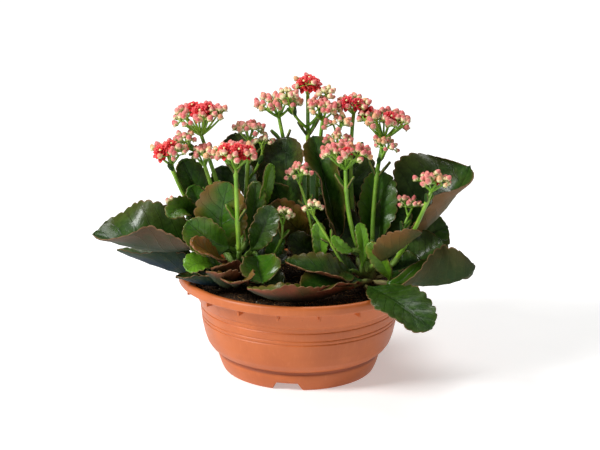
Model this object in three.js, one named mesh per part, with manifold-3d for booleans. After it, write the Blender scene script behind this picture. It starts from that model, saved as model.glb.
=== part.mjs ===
// Potted kalanchoe: three bushy kalanchoe plants with clustered flower heads, growing in a low
// round plastic planter bowl filled with potting soil. Millimetres, +Z up.
import * as THREE from "three";
import { mergeVertices } from "three/addons/utils/BufferGeometryUtils.js";
import Module from "manifold-3d";

const wasm = await Module();
wasm.setup();

// ---------------------------------------------------------------- driving dimensions
const GAP = 0.3; // left between pieces that touch

const RIM_RADIUS = 115; // outside of the rolled rim
const BOWL_HEIGHT = 96;
const FOOT_RADIUS = 71; // outer edge of the flat foot ring
const FOOT_INNER_RADIUS = 69;
const WALL = 2;
const FLOOR_UNDERSIDE = 9; // the floor stands clear of the table
const FLOOR_TOP = FLOOR_UNDERSIDE + WALL;
const BOWL_SIDES = 36;

const FOOT_NOTCHES = 3; // let the water out under the foot ring
const FIRST_NOTCH_ANGLE = -98; // degrees from +X, almost at the front
const NOTCH_WIDTH_BELOW = 28.6;
const NOTCH_WIDTH_ABOVE = 20;
const NOTCH_HEIGHT = 8;
const NOTCH_FROM_RADIUS = 55; // the cutter runs outwards from here
const NOTCH_DEPTH = 30;

const DRAIN_HOLES = 6;
const DRAIN_RADIUS = 3.5;
const DRAIN_CIRCLE_RADIUS = 44;
const DRAIN_SIDES = 12;

const RIM_RIBS = 18; // stiffening ribs under the rim
const RIB_WIDTH = 1.6;
const RIB_REACH = 9;
const RIB_HEIGHT = 6;
const RIB_MIDDLE_RADIUS = 106.5;
const RIB_MIDDLE_HEIGHT = 84.5;
const FIRST_RIB_ANGLE = -80;

const SOIL_TOP = 88;
const SOIL_EDGE = 85.5; // the soil is lower where it meets the wall
const SOIL_WALL_RADIUS = 100.2;
const SOIL_SHOULDER_RADIUS = 98;
const SOIL_FLAT_RADIUS = 88;

const LEAF_THICKNESS = 1.5;
const LEAF_WIDEST_AT = 0.56; // share of the leaf's length
const LEAF_BLUNTNESS = 2.4; // 2 closes the tip in an ellipse, more makes it blunter
const LEAF_OPENING = 0.85; // below 1 the blade widens faster from the petiole
const LEAF_TIP_HALF_WIDTH = 1.2;
const LEAF_FLAT_BELOW = 8; // half widths under this are neither folded nor curled
const TIP_OPENS_AT = 0.62; // from here on the fold opens out towards the tip
const TIP_OPENS = 0.85; // share of the fold that is gone at the tip
const LEAF_STEPS_ALONG = 8;
const LEAF_STEPS_ACROSS = 4;
const LEAF_STEPS_CLOSE_UP = 1.4; // over 1 the steps close up towards the tip
const PETIOLE_RADIUS = 2.2;

const STALK_RADIUS = 2.4;
const STALK_STEPS = 5;
const SHOOT_STEPS = 3;
const SHOOT_RISE = 0.6; // a shoot leaves its stem this much lower for each mm that it reaches out
const SHOOT_DROP = 4;
const SHOOT_CLEARANCE = 5; // above the soil
const STEM_FOOT_SHARE = 1.15; // radius of a stem at the soil and at its top
const STEM_TOP_SHARE = 0.8;
const TUBE_SIDES = 8;

const HEAD_SIDES = 14;
const HEAD_UPRIGHT = 0.7; // 0 leans a head with its stalk, 1 stands it upright

// Three plants: where each main stem stands, and how high its woody part reaches.
const PLANTS = {
  left: { foot: [-60, -26], top: 120, radius: 5 },
  right: { foot: [66, -26], top: 118, radius: 5.5 },
  back: { foot: [10, 38], top: 128, radius: 5 },
};

// Each leaf: the plant it grows on, then root, bend and tip of its midrib, its width measured over
// the blade, the way its upper face looks, and in degrees how far each half folds up at the midrib
// and curls on towards its edge.
const LEAVES = [
  { name: "left_outer_long", plant: "left", root: [-86, -14, 122], bend: [-128, -46, 116],
    tip: [-190.5, -41.2, 139.3], width: 94, face: [0.8, -0.08, 0.6], fold: 51, curl: 14 },
  { name: "left_outer_low", plant: "left", root: [-70.2, -33.7, 100], bend: [-88, -26.8, 85],
    tip: [-172, -8, 114], width: 49, face: [0.24, 0.15, 0.96], fold: 48, curl: 21 },
  { name: "left_rim", plant: "left", root: [-62, -48, 93], bend: [-88, -66, 98],
    tip: [-113, -54, 104], width: 32, face: [0, 0, 1], fold: 35, curl: 20 },
  { name: "left_front_low", plant: "left", root: [-58, -54, 100], bend: [-64, -84, 95],
    tip: [-84, -86, 119], width: 44, face: [0, 0.3, 1], fold: 35, curl: 20 },
  { name: "left_front_cupped", plant: "left", root: [-40, -40, 120], bend: [-36, -66, 106],
    tip: [-33, -84, 108], width: 56, face: [0, -0.5, 0.9], fold: 30, curl: 42 },
  { name: "left_upright_large", plant: "left", root: [-64, -37, 124], bend: [-80, -44, 148],
    tip: [-66, -40, 191], width: 52, face: [-0.05, -1, 0.2], fold: 9, curl: 12 },
  { name: "left_upright_small", plant: "left", root: [-50, -18, 128], bend: [-42, -18, 160],
    tip: [-42, -16, 186], width: 24, face: [0.3, -1, 0], fold: 20, curl: 20 },
  { name: "left_drooping", plant: "left", root: [-100, -20, 150], bend: [-107, -36, 174],
    tip: [-120, -56, 161], width: 25, face: [0, -1, 0.5], fold: 15, curl: 20 },
  { name: "left_front_dark", plant: "left", root: [-44, -43, 128], bend: [-33, -51, 146],
    tip: [-27, -46, 171], width: 30, face: [0, -1, 0.2], fold: 20, curl: 20 },
  { name: "left_reddish", plant: "left", root: [-68, -48, 116], bend: [-80, -74, 128],
    tip: [-99, -81, 148], width: 26, face: [0, -0.6, 1], fold: 20, curl: 20 },
  { name: "left_back_dark", plant: "left", root: [-78, 4, 133], bend: [-96, 12, 161],
    tip: [-112, 14, 198], width: 38, face: [0.5, -1, 0], fold: 20, curl: 20 },
  { name: "back_left_tall", plant: "back", root: [-30, 52, 138], bend: [-60, 72, 172],
    tip: [-64, 84, 206], width: 45, face: [0.3, -1, 0], fold: 20, curl: 25 },
  { name: "back_left_narrow", plant: "back", root: [-14, 42, 145], bend: [-33, 48, 176],
    tip: [-38, 54, 210], width: 34, face: [0, -1, 0], fold: 20, curl: 20 },
  { name: "back_centre_large", plant: "back", root: [-12.9, 23.2, 121.2], bend: [-13.4, 9.7, 181.8],
    tip: [-12.2, 21.6, 218.8], width: 59, face: [-0.56, -0.83, 0.04], fold: 11, curl: 28 },
  { name: "centre_folded", plant: "back", root: [36.6, -2, 121.5], bend: [26.6, -15, 173.2],
    tip: [11.2, 3.4, 223.8], width: 50, face: [0.14, -0.82, 0.55], fold: 49, curl: 29 },
  { name: "centre_bronze", plant: "back", root: [5, 8, 122], bend: [-7, -10, 145],
    tip: [-29, -8, 160], width: 40, face: [-0.3, -1, 0.6], fold: 15, curl: 25 },
  { name: "back_right_tall", plant: "back", root: [40, 32, 125], bend: [52, 34, 160],
    tip: [48, 40, 205], width: 56, face: [0, -1, 0], fold: 15, curl: 25 },
  { name: "right_outer_large", plant: "right", root: [94.5, 4.6, 114.7], bend: [143.9, 4.1, 151.1],
    tip: [159.1, 7.8, 195.1], width: 137, face: [-0.76, -0.32, 0.56], fold: 27, curl: 34 },
  { name: "right_outer_middle", plant: "right", root: [84, 16, 104], bend: [108, 22, 118],
    tip: [141, 28, 130], width: 58, face: [-0.3, -0.9, 0.3], fold: 10, curl: 15 },
  { name: "right_glossy", plant: "right", root: [88, -14, 103], bend: [103, -27, 111],
    tip: [124, -22, 119], width: 38, face: [0, -0.5, 0.87], fold: 10, curl: 20 },
  { name: "right_outer_low", plant: "right", root: [82.2, -48, 98], bend: [147.7, -77.1, 100],
    tip: [161.3, -57.1, 117.4], width: 73, face: [-0.96, 0.28, 0.03], fold: 42, curl: 22 },
  { name: "right_hanging", plant: "right", root: [64.3, -61.3, 96.5], bend: [84.8, -103.6, 103.2],
    tip: [118, -121.3, 79.4], width: 51, face: [0.06, -0.41, 0.91], fold: 6, curl: 14 },
  { name: "front_rim", plant: "right", root: [49.6, -58, 98], bend: [-2, -97, 84],
    tip: [-46, -112, 112], width: 40, face: [0, 0.25, 0.95], fold: 32, curl: 16 },
  { name: "front_low", plant: "right", root: [46, -42, 106], bend: [34.6, -72, 104],
    tip: [-13, -67, 124], width: 43, face: [0.75, -0.15, 0.65], fold: 29, curl: 22 },
  { name: "right_upright", plant: "right", root: [68, -6, 122], bend: [72, 0, 151],
    tip: [75, 8, 190], width: 44, face: [0, -1, 0], fold: 20, curl: 20 },
  { name: "right_bronze", plant: "right", root: [70, -46, 116], bend: [84, -76, 132],
    tip: [110, -76, 156], width: 44, face: [-0.2, 0.5, 0.85], fold: 30, curl: 25 },
  { name: "rear_right", plant: "back", root: [22, 54, 104], bend: [44, 95, 124],
    tip: [52, 118, 112], width: 60, face: [0, 0, 1], fold: 20, curl: 25 },
  { name: "rear_left", plant: "back", root: [-4, 54, 104], bend: [-36, 92, 124],
    tip: [-56, 116, 110], width: 58, face: [0, 0, 1], fold: 20, curl: 25 },
  { name: "rear_left_side", plant: "left", root: [-66, -6, 108], bend: [-98, 40, 124],
    tip: [-128, 72, 112], width: 60, face: [0, 0, 1], fold: 20, curl: 25 },
  { name: "rear_right_side", plant: "right", root: [58, 8, 108], bend: [84, 66, 120],
    tip: [110, 98, 106], width: 58, face: [0, 0, 1], fold: 20, curl: 25 },
  { name: "rear_upright", plant: "back", root: [14, 50, 126], bend: [22, 84, 150],
    tip: [18, 96, 182], width: 54, face: [0, 1, 0.4], fold: 15, curl: 25 },
];

// Each flower stalk: its plant, root, bend and top; and the radius and height of the flower head.
const FLOWER_STALKS = [
  { name: "left_outer", plant: "left", root: [-80, -7, 130], bend: [-108, -7, 158],
    top: [-120, -17, 201], head: 17, headHeight: 18 },
  { name: "left_high", plant: "left", root: [-62, -6, 130], bend: [-78, 0, 180],
    top: [-93, 5, 224], head: 26, headHeight: 26 },
  { name: "left_inner", plant: "left", root: [-70, -10, 134], bend: [-80, -10, 170],
    top: [-89, -10, 198], head: 10, headHeight: 16 },
  { name: "left_main", plant: "left", root: [-56, -48, 128], bend: [-58, -56, 172],
    top: [-59, -51, 207], head: 21, headHeight: 20 },
  { name: "left_rear", plant: "left", root: [-54, -8, 128], bend: [-50, 10, 180],
    top: [-49, 18, 216], head: 13, headHeight: 14 },
  { name: "back_left", plant: "back", root: [2, 36, 138], bend: [-12, 34, 190],
    top: [-21, 30, 236], head: 22, headHeight: 18 },
  { name: "back_top", plant: "back", root: [8, 34, 138], bend: [7, 30, 190],
    top: [6, 25, 258], head: 12, headHeight: 18 },
  { name: "back_right", plant: "back", root: [16, 32, 138], bend: [15, 20, 190],
    top: [20, 7, 239], head: 15, headHeight: 16 },
  { name: "right_rear", plant: "right", root: [52, -8, 128], bend: [44, 12, 188],
    top: [49, 13, 244], head: 13, headHeight: 14 },
  { name: "right_main", plant: "right", root: [54, -34, 128], bend: [42, -42, 160],
    top: [41, -45, 206], head: 22, headHeight: 20 },
  { name: "right_high", plant: "right", root: [68, -16, 130], bend: [68, -4, 180],
    top: [77, 5, 222], head: 26, headHeight: 24 },
  { name: "right_outer", plant: "right", root: [90, -33, 117], bend: [104, -61, 148],
    top: [119, -58, 190], head: 15, headHeight: 13 },
];

// ---------------------------------------------------------------- materials
const COLOURS = {
  terracotta: new THREE.Color(0.78, 0.4, 0.24),
  soil: new THREE.Color(0.16, 0.11, 0.07),
  stem: new THREE.Color(0.42, 0.6, 0.2),
  leaf: new THREE.Color(0.13, 0.3, 0.1),
  flower: new THREE.Color(0.86, 0.42, 0.42),
};

function material(colour, roughness) {
  return new THREE.MeshStandardMaterial({ color: COLOURS[colour], roughness, metalness: 0 });
}

// ---------------------------------------------------------------- solids
const vector = (xyz) => new THREE.Vector3(...xyz);
const radians = THREE.MathUtils.degToRad;

function solidOf(geometry) {
  const bare = geometry.clone();
  bare.deleteAttribute("normal");
  bare.deleteAttribute("uv");
  const merged = mergeVertices(bare, 1e-3);
  return new wasm.Manifold(
    new wasm.Mesh({
      numProp: 3,
      vertProperties: merged.attributes.position.array,
      triVerts: new Uint32Array(merged.index.array),
    }),
  );
}

function geometryOf(solid) {
  const { vertProperties, triVerts } = solid.getMesh();
  const geometry = new THREE.BufferGeometry();
  geometry.setAttribute("position", new THREE.BufferAttribute(vertProperties, 3));
  geometry.setIndex(new THREE.BufferAttribute(triVerts, 1));
  geometry.computeVertexNormals();
  return geometry;
}

function turned(profile, sides = BOWL_SIDES) {
  const points = profile.map(([radius, height]) => new THREE.Vector2(radius, height));
  return new THREE.LatheGeometry(points, sides).rotateX(Math.PI / 2);
}

function tube(path, radius, steps) {
  const section = new THREE.Shape();
  section.absarc(0, 0, radius, 0, 2 * Math.PI);
  return new THREE.ExtrudeGeometry(section, {
    steps,
    extrudePath: path,
    curveSegments: TUBE_SIDES / 2, // a full circle is cut into twice as many
    bevelEnabled: false,
  });
}

// ---------------------------------------------------------------- the bowl
// Outside of the wall from the foot up: a waist above the foot, a belly, three fine grooves,
// a step into the plain band, and the flare under the rim.
const OUTER_WALL = [
  [FOOT_RADIUS, 0], [72.5, 0.8], [75, 6], [77, 12], [77.3, 16], [76.5, 18.5], [79.5, 20.5],
  [84, 24], [87.5, 29], [90, 36], [92, 45], [92.9, 51.2], [92.3, 51.9], [93, 52.6],
  [93.3, 54.8], [92.8, 55.5], [93.6, 56.2], [94.1, 63], [93.6, 63.7], [94.3, 64.4],
  [94.6, 68], [96.4, 69.4], [98.5, 75], [101, 82], [103.5, 86],
];
const RIM = [
  [113.6, 86.6], [RIM_RADIUS, 88], [RIM_RADIUS, 94], [113.8, 95.6], [112, BOWL_HEIGHT],
  [109.8, 95.7], [109.2, 94.4],
];
const INNER_WALL = [
  [102.5, 88], [98.8, 81.5], [94, 70], [91.2, 62], [90, 45], [86, 31], [78.5, 22],
  [74.6, 19.6], [74, FLOOR_TOP + 1], [73, FLOOR_TOP],
];

function footNotch(angle) {
  const side = new THREE.Shape([
    new THREE.Vector2(-NOTCH_WIDTH_BELOW / 2, -1),
    new THREE.Vector2(NOTCH_WIDTH_BELOW / 2, -1),
    new THREE.Vector2(NOTCH_WIDTH_BELOW / 2, 0),
    new THREE.Vector2(NOTCH_WIDTH_ABOVE / 2, NOTCH_HEIGHT),
    new THREE.Vector2(-NOTCH_WIDTH_ABOVE / 2, NOTCH_HEIGHT),
    new THREE.Vector2(-NOTCH_WIDTH_BELOW / 2, 0),
  ]);
  const outwards = new THREE.Matrix4().makeBasis(
    vector([0, 1, 0]),
    vector([0, 0, 1]),
    vector([1, 0, 0]),
  );
  return new THREE.ExtrudeGeometry(side, { depth: NOTCH_DEPTH, bevelEnabled: false })
    .translate(0, 0, NOTCH_FROM_RADIUS)
    .applyMatrix4(outwards)
    .rotateZ(radians(angle));
}

function makeBowl() {
  const profile = [
    [0, FLOOR_UNDERSIDE], [72.5, FLOOR_UNDERSIDE], [FOOT_INNER_RADIUS, 0],
    ...OUTER_WALL, ...RIM, ...INNER_WALL, [0, FLOOR_TOP],
  ];
  let bowl = solidOf(turned(profile));
  for (let i = 0; i < FOOT_NOTCHES; i++) {
    bowl = bowl.subtract(solidOf(footNotch(FIRST_NOTCH_ANGLE + (i * 360) / FOOT_NOTCHES)));
  }
  for (let i = 0; i < DRAIN_HOLES; i++) {
    const angle = (i * 2 * Math.PI) / DRAIN_HOLES;
    const drill = new THREE.CylinderGeometry(DRAIN_RADIUS, DRAIN_RADIUS, 4 * WALL, DRAIN_SIDES)
      .rotateX(Math.PI / 2)
      .translate(
        DRAIN_CIRCLE_RADIUS * Math.cos(angle),
        DRAIN_CIRCLE_RADIUS * Math.sin(angle),
        FLOOR_TOP - WALL / 2,
      );
    bowl = bowl.subtract(solidOf(drill));
  }
  for (let i = 0; i < RIM_RIBS; i++) {
    const rib = new THREE.BoxGeometry(RIB_REACH, RIB_WIDTH, RIB_HEIGHT)
      .translate(RIB_MIDDLE_RADIUS, 0, RIB_MIDDLE_HEIGHT)
      .rotateZ(radians(FIRST_RIB_ANGLE + (i * 360) / RIM_RIBS));
    bowl = bowl.add(solidOf(rib));
  }
  return geometryOf(bowl);
}

// ---------------------------------------------------------------- the soil
// Fills the bowl to just under the rim, a gap clear of the wall and the floor.
function makeSoil() {
  const side = INNER_WALL.filter(([, height]) => height < SOIL_EDGE)
    .map(([radius, height]) => [radius - GAP, Math.max(height, FLOOR_TOP + GAP)])
    .reverse();
  return turned([
    [0, FLOOR_TOP + GAP], ...side, [SOIL_WALL_RADIUS, SOIL_EDGE - 1],
    [SOIL_SHOULDER_RADIUS, SOIL_EDGE], [SOIL_FLAT_RADIUS, SOIL_TOP], [0, SOIL_TOP],
  ]);
}

// ---------------------------------------------------------------- leaves
// Half the width of a blade at a share of its length: it widens from the petiole in a quarter
// sine, is widest just past the middle, and closes in a blunt, rounded tip.
function halfWidth(spec, along) {
  const quarter = (Math.PI / 2) * Math.min(along / LEAF_WIDEST_AT, 1);
  const opening = Math.pow(Math.sin(quarter), LEAF_OPENING);
  const past = Math.max(along - LEAF_WIDEST_AT, 0) / (1 - LEAF_WIDEST_AT);
  const closing = Math.pow(Math.max(1 - Math.pow(past, LEAF_BLUNTNESS), 0), 1 / LEAF_BLUNTNESS);
  const least = along < LEAF_WIDEST_AT ? PETIOLE_RADIUS : LEAF_TIP_HALF_WIDTH;
  return Math.max((spec.width / 2) * opening * closing, least);
}

function midrib(spec) {
  return new THREE.QuadraticBezierCurve3(vector(spec.root), vector(spec.bend), vector(spec.tip));
}

// A flat slab bent along the midrib, each half folded up from it and curled towards its edge.
function makeLeaf(spec) {
  const slab = new THREE.BoxGeometry(2, 1, 1, LEAF_STEPS_ACROSS, LEAF_STEPS_ALONG, 1);
  const position = slab.getAttribute("position");
  const line = midrib(spec);
  const curl = radians(spec.curl);
  for (let i = 0; i < position.count; i++) {
    const across = position.getX(i);
    const along = 1 - Math.pow(0.5 - position.getY(i), LEAF_STEPS_CLOSE_UP);
    const side = position.getZ(i);
    const forward = line.getTangent(along);
    const up = vector(spec.face);
    up.addScaledVector(forward, -up.dot(forward)).normalize();
    const sideways = new THREE.Vector3().crossVectors(forward, up);
    const half = halfWidth(spec, along);
    const open = Math.min(1, half / LEAF_FLAT_BELOW);
    const tipward = THREE.MathUtils.smoothstep(along, TIP_OPENS_AT, 1);
    const fold = radians(spec.fold) * (1 - TIP_OPENS * tipward);
    const edgeward = Math.abs(across);
    const angle = open * (fold + curl * edgeward);
    const radius = half / (open * curl);
    const reach = radius * (Math.sin(angle) - Math.sin(open * fold)) * Math.sign(across);
    const rise = radius * (Math.cos(open * fold) - Math.cos(angle));
    const lift = side * THREE.MathUtils.lerp(PETIOLE_RADIUS * 1.5, LEAF_THICKNESS, open);
    const lean = edgeward > 0 ? Math.sin(angle) * Math.sign(across) : 0;
    const point = line.getPoint(along).addScaledVector(forward, along === 0 ? GAP : 0);
    point.addScaledVector(sideways, reach - lift * lean);
    point.addScaledVector(up, rise + lift * (edgeward > 0 ? Math.cos(angle) : 1));
    position.setXYZ(i, point.x, point.y, point.z);
  }
  slab.computeVertexNormals();
  return slab;
}

// ---------------------------------------------------------------- stems
// The short woody stem of one plant, with a side shoot out to every leaf and flower stalk.
function makePlantStem(key) {
  const { foot, top, radius } = PLANTS[key];
  const height = top - SOIL_TOP - GAP;
  const trunk = new THREE.CylinderGeometry(
    radius * STEM_TOP_SHARE, radius * STEM_FOOT_SHARE, height, 2 * TUBE_SIDES,
  );
  trunk.rotateX(Math.PI / 2).translate(...foot, SOIL_TOP + GAP + height / 2);
  let stem = solidOf(trunk);
  const grown = [...LEAVES, ...FLOWER_STALKS].filter((spec) => spec.plant === key);
  for (const spec of grown) {
    const root = vector(spec.root);
    const leaving = vector(spec.bend).sub(root).normalize();
    const distance = Math.hypot(root.x - foot[0], root.y - foot[1]);
    const low = root.z - SHOOT_RISE * distance - SHOOT_DROP;
    const lowest = SOIL_TOP + SHOOT_CLEARANCE;
    const start = vector([...foot, THREE.MathUtils.clamp(low, lowest, top - SHOOT_DROP)]);
    const middle = root.clone().addScaledVector(leaving, -start.distanceTo(root) / 2);
    middle.z = Math.max(middle.z, lowest);
    const path = new THREE.QuadraticBezierCurve3(start, middle, root);
    stem = stem.add(solidOf(tube(path, PETIOLE_RADIUS, SHOOT_STEPS)));
  }
  return geometryOf(stem);
}

function makeStalk(spec) {
  const path = new THREE.QuadraticBezierCurve3(
    vector(spec.root).add(vector(spec.bend).sub(vector(spec.root)).setLength(GAP)),
    vector(spec.bend),
    vector(spec.top),
  );
  return tube(path, STALK_RADIUS, STALK_STEPS);
}

// ---------------------------------------------------------------- flower heads
// The outer shape of one cluster of buds and flowers: a cone of pedicels under a low dome.
function makeFlowerHead(spec) {
  const { head, headHeight } = spec;
  const dome = [
    [0, 0], [STALK_RADIUS, 0], [head * 0.8, headHeight * 0.42], [head, headHeight * 0.62],
    [head * 0.86, headHeight * 0.85], [head * 0.5, headHeight], [0, headHeight],
  ];
  const upright = vector([0, 0, 1]);
  const leaning = vector(spec.top).sub(vector(spec.bend)).normalize();
  leaning.lerp(upright, HEAD_UPRIGHT).normalize();
  const turn = new THREE.Quaternion().setFromUnitVectors(upright, leaning);
  return turned(dome, HEAD_SIDES)
    .applyQuaternion(turn)
    .translate(...spec.top)
    .translate(0, 0, 2 * GAP);
}

// ---------------------------------------------------------------- assembly
const plantInBowl = new THREE.Group();

function place(name, geometry, finish) {
  const mesh = new THREE.Mesh(geometry, finish);
  mesh.name = name;
  plantInBowl.add(mesh);
}

place("bowl", makeBowl(), material("terracotta", 0.45));
place("soil", makeSoil(), material("soil", 0.95));
for (const key of Object.keys(PLANTS)) {
  place(`stem_${key}`, makePlantStem(key), material("stem", 0.5));
}
for (const spec of LEAVES) {
  place(`leaf_${spec.name}`, makeLeaf(spec), material("leaf", 0.3));
}
for (const spec of FLOWER_STALKS) {
  place(`stalk_${spec.name}`, makeStalk(spec), material("stem", 0.5));
  place(`flowers_${spec.name}`, makeFlowerHead(spec), material("flower", 0.6));
}

// The origin is the centre of the underside of the whole object's box.
const pottedKalanchoe = new THREE.Group();
pottedKalanchoe.add(plantInBowl);
const box = new THREE.Box3().setFromObject(plantInBowl);
const middle = box.getCenter(new THREE.Vector3());
plantInBowl.position.set(-middle.x, -middle.y, -box.min.z);

export default pottedKalanchoe;
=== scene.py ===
import math
import random

import bmesh
import bpy
import numpy as np
from mathutils import Matrix, Vector


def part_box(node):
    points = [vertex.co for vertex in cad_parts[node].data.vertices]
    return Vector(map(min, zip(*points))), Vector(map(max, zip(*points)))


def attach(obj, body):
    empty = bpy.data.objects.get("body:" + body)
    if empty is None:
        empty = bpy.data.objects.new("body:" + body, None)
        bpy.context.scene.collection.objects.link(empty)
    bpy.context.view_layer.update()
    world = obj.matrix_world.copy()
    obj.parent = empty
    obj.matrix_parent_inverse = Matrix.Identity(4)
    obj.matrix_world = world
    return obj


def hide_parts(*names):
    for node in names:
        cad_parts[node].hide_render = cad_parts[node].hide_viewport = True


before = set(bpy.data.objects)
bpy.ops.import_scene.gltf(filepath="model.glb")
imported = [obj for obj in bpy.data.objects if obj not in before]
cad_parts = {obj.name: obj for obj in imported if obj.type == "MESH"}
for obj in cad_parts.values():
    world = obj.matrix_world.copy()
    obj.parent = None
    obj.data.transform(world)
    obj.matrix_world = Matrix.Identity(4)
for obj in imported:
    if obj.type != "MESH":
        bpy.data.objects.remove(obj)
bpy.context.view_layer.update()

scene = bpy.context.scene
scene.view_settings.view_transform = "Standard"

# ------------------------------------------------------------------ where things stand, the camera
# Every place below is given in millimetres from the middle of the bowl's foot, with X to the
# right, Y to the back and Z up, and at() turns it into metres in the frame.
bowl_low, bowl_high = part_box("bowl")
AXIS = np.array([(bowl_low.x + bowl_high.x) / 2, (bowl_low.y + bowl_high.y) / 2, 0.0])
MM = 0.001


def at(*xyz):
    return AXIS + MM * np.array(xyz, float)


CAMERA_BACK, CAMERA_UP, CAMERA_PITCH, CAMERA_ROLL = 1800, 680, 16.73, 0.6
LENS, SENSOR = 119.58, 36.0
camera = bpy.data.objects.new("camera", bpy.data.cameras.new("camera"))
scene.collection.objects.link(camera)
camera.data.lens = LENS
camera.data.sensor_width = SENSOR
camera.location = at(0, -CAMERA_BACK, CAMERA_UP)
tilt = Matrix.Rotation(math.radians(90 - CAMERA_PITCH), 4, "X")
camera.rotation_euler = (tilt @ Matrix.Rotation(math.radians(CAMERA_ROLL), 4, "Z")).to_euler()
scene.camera = camera


# ------------------------------------------------------------------ planter bowl
# One injection-moulded bowl of terracotta-coloured plastic: a foot ring with three drain gaps,
# a waist above it, three fine grooves, a plain band and a rolled rim with small ribs under it.
class Socket:
    """The output of a node. Arithmetic on it adds Math nodes to its tree."""

    def __init__(self, tree, end):
        self.tree, self.end = tree, end

    def maths(self, operation, *values):
        return self.tree.node("ShaderNodeMath", {"operation": operation}, dict(enumerate(values)))

    def __add__(self, other):
        return self.maths("ADD", self, other)

    def __sub__(self, other):
        return self.maths("SUBTRACT", self, other)

    def __rsub__(self, other):
        return self.maths("SUBTRACT", other, self)

    def __mul__(self, other):
        return self.maths("MULTIPLY", self, other)

    def __truediv__(self, other):
        return self.maths("DIVIDE", self, other)

    def __abs__(self):
        return self.maths("ABSOLUTE", self)

    __radd__, __rmul__ = __add__, __mul__

    def sine(self):
        return self.maths("SINE", self)

    def fraction(self):
        return self.maths("FRACT", self)

    def clamped(self, low, high):
        """0 at low, 1 at high, smooth between them."""
        settings = {"interpolation_type": "SMOOTHSTEP"}
        values = {"Value": self, "From Min": low, "From Max": high}
        return self.tree.node("ShaderNodeMapRange", settings, values)


class NodeTree:
    """A node tree that is filled by node(), which returns the new node's output."""

    def __init__(self, tree):
        self.tree = tree

    def node(self, kind, settings=None, sockets=None, output=0):
        made = self.tree.nodes.new(kind)
        for key, value in (settings or {}).items():
            setattr(made, key, value)
        for key, value in (sockets or {}).items():
            if isinstance(value, Socket):
                self.tree.links.new(value.end, made.inputs[key])
            else:
                made.inputs[key].default_value = value
        return Socket(self, made.outputs[output]) if made.outputs else None


def colour(red, green, blue):
    """A paint-card colour, 0 to 255 a channel, as the light it reflects."""
    light = []
    for channel in (red, green, blue):
        share = channel / 255
        light.append(share / 12.92 if share <= 0.04045 else ((share + 0.055) / 1.055) ** 2.4)
    return (*light, 1.0)


def blended(tree, share, first, second):
    """One colour turning into another as the share goes from 0 to 1."""
    settings = {"data_type": "RGBA", "blend_type": "MIX", "clamp_factor": True}
    return tree.node("ShaderNodeMix", settings, {0: share, 6: first, 7: second}, output=2)


def noise(tree, place, per_metre, detail=3.0, roughness=0.5):
    sockets = {"Vector": place, "Scale": per_metre, "Detail": detail, "Roughness": roughness}
    return tree.node("ShaderNodeTexNoise", {}, sockets)


def stretched(tree, place, scale):
    """A place scaled along each axis, for a pattern that runs one way."""
    return tree.node("ShaderNodeMapping", {}, {"Vector": place, "Scale": scale})


def bump(tree, strength, distance, height):
    sockets = {"Strength": strength, "Distance": distance, "Height": height}
    return tree.node("ShaderNodeBump", {}, sockets)


def marked(tree, title, output="Fac"):
    """What an attribute of the mesh says at each point."""
    return tree.node("ShaderNodeAttribute", {"attribute_name": title}, output=output)


def new_finish(name):
    material = bpy.data.materials.new(name)
    material.use_nodes = True
    material.node_tree.nodes.clear()
    tree = NodeTree(material.node_tree)
    place = tree.node("ShaderNodeTexCoord", output="Object")
    return material, tree, place


def part_of(tree, vector, axis):
    """X, Y or Z (0, 1 or 2) of a vector."""
    return tree.node("ShaderNodeSeparateXYZ", {}, {0: vector}, output=axis)


def finish_with(tree, sockets):
    shader = tree.node("ShaderNodeBsdfPrincipled", {}, sockets)
    tree.node("ShaderNodeOutputMaterial", {}, {"Surface": shader})


def smoothed(mesh):
    mesh.polygons.foreach_set("use_smooth", [True] * len(mesh.polygons))


def mesh_piece(name, points, faces, material=None, smooth=True):
    mesh = bpy.data.meshes.new(name)
    mesh.from_pydata([tuple(p) for p in points], [], [tuple(int(i) for i in f) for f in faces])
    mesh.update()
    if smooth:
        smoothed(mesh)
    if material:
        mesh.materials.append(material)
    piece = bpy.data.objects.new(name, mesh)
    scene.collection.objects.link(piece)
    return piece


def work_in(piece):
    """Works a piece's modifiers into its mesh."""
    bpy.context.view_layer.update()
    graph = bpy.context.evaluated_depsgraph_get()
    final = bpy.data.meshes.new_from_object(piece.evaluated_get(graph))
    piece.modifiers.clear()
    old, piece.data = piece.data, final
    bpy.data.meshes.remove(old)


def polar(radius, angle):
    return radius * math.cos(angle), radius * math.sin(angle)


def band(low, high, sides):
    """The faces between two rings of points, each ring given by the number of its first point."""
    turns = [(side, (side + 1) % sides) for side in range(sides)]
    return [(low + one, low + two, high + two, high + one) for one, two in turns]


BOWL_SIDES = 240
CORNER, CORNER_MOST = 0.9, 0.42  # a corner's curve is this long, and no more of an edge than this
OUTSIDE = [
    (71, 0), (72.3, 0.9), (74.6, 6), (76.6, 12), (77.2, 15.6), (76.4, 17.6), (76.9, 19.0),
    (79.8, 20.6), (83.8, 23.6), (87.3, 28.6), (89.9, 36), (91.9, 45), (92.9, 50.9),
    (92.0, 51.7), (93.0, 52.5), (93.3, 54.7), (92.5, 55.5), (93.5, 56.3), (94.1, 62.9),
    (93.3, 63.7), (94.3, 64.5), (94.7, 68.3), (96.4, 69.5), (98.4, 75), (100.9, 82),
    (103.6, 86), (113.4, 86.8), (114.6, 87.4), (115, 88.6), (115, 93.2), (114.2, 95.2),
    (112.6, 96), (111.0, 95.9), (109.6, 95.2), (109.1, 93.9),
]
INSIDE = [
    (102.5, 88), (98.8, 81.5), (94, 70), (91.2, 62), (90, 45), (86, 31), (78.5, 22),
    (74.6, 19.6), (74, 12), (73, 11),
]
FLOOR_UNDER, FLOOR_OVER = 9.0, 11.0


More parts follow.
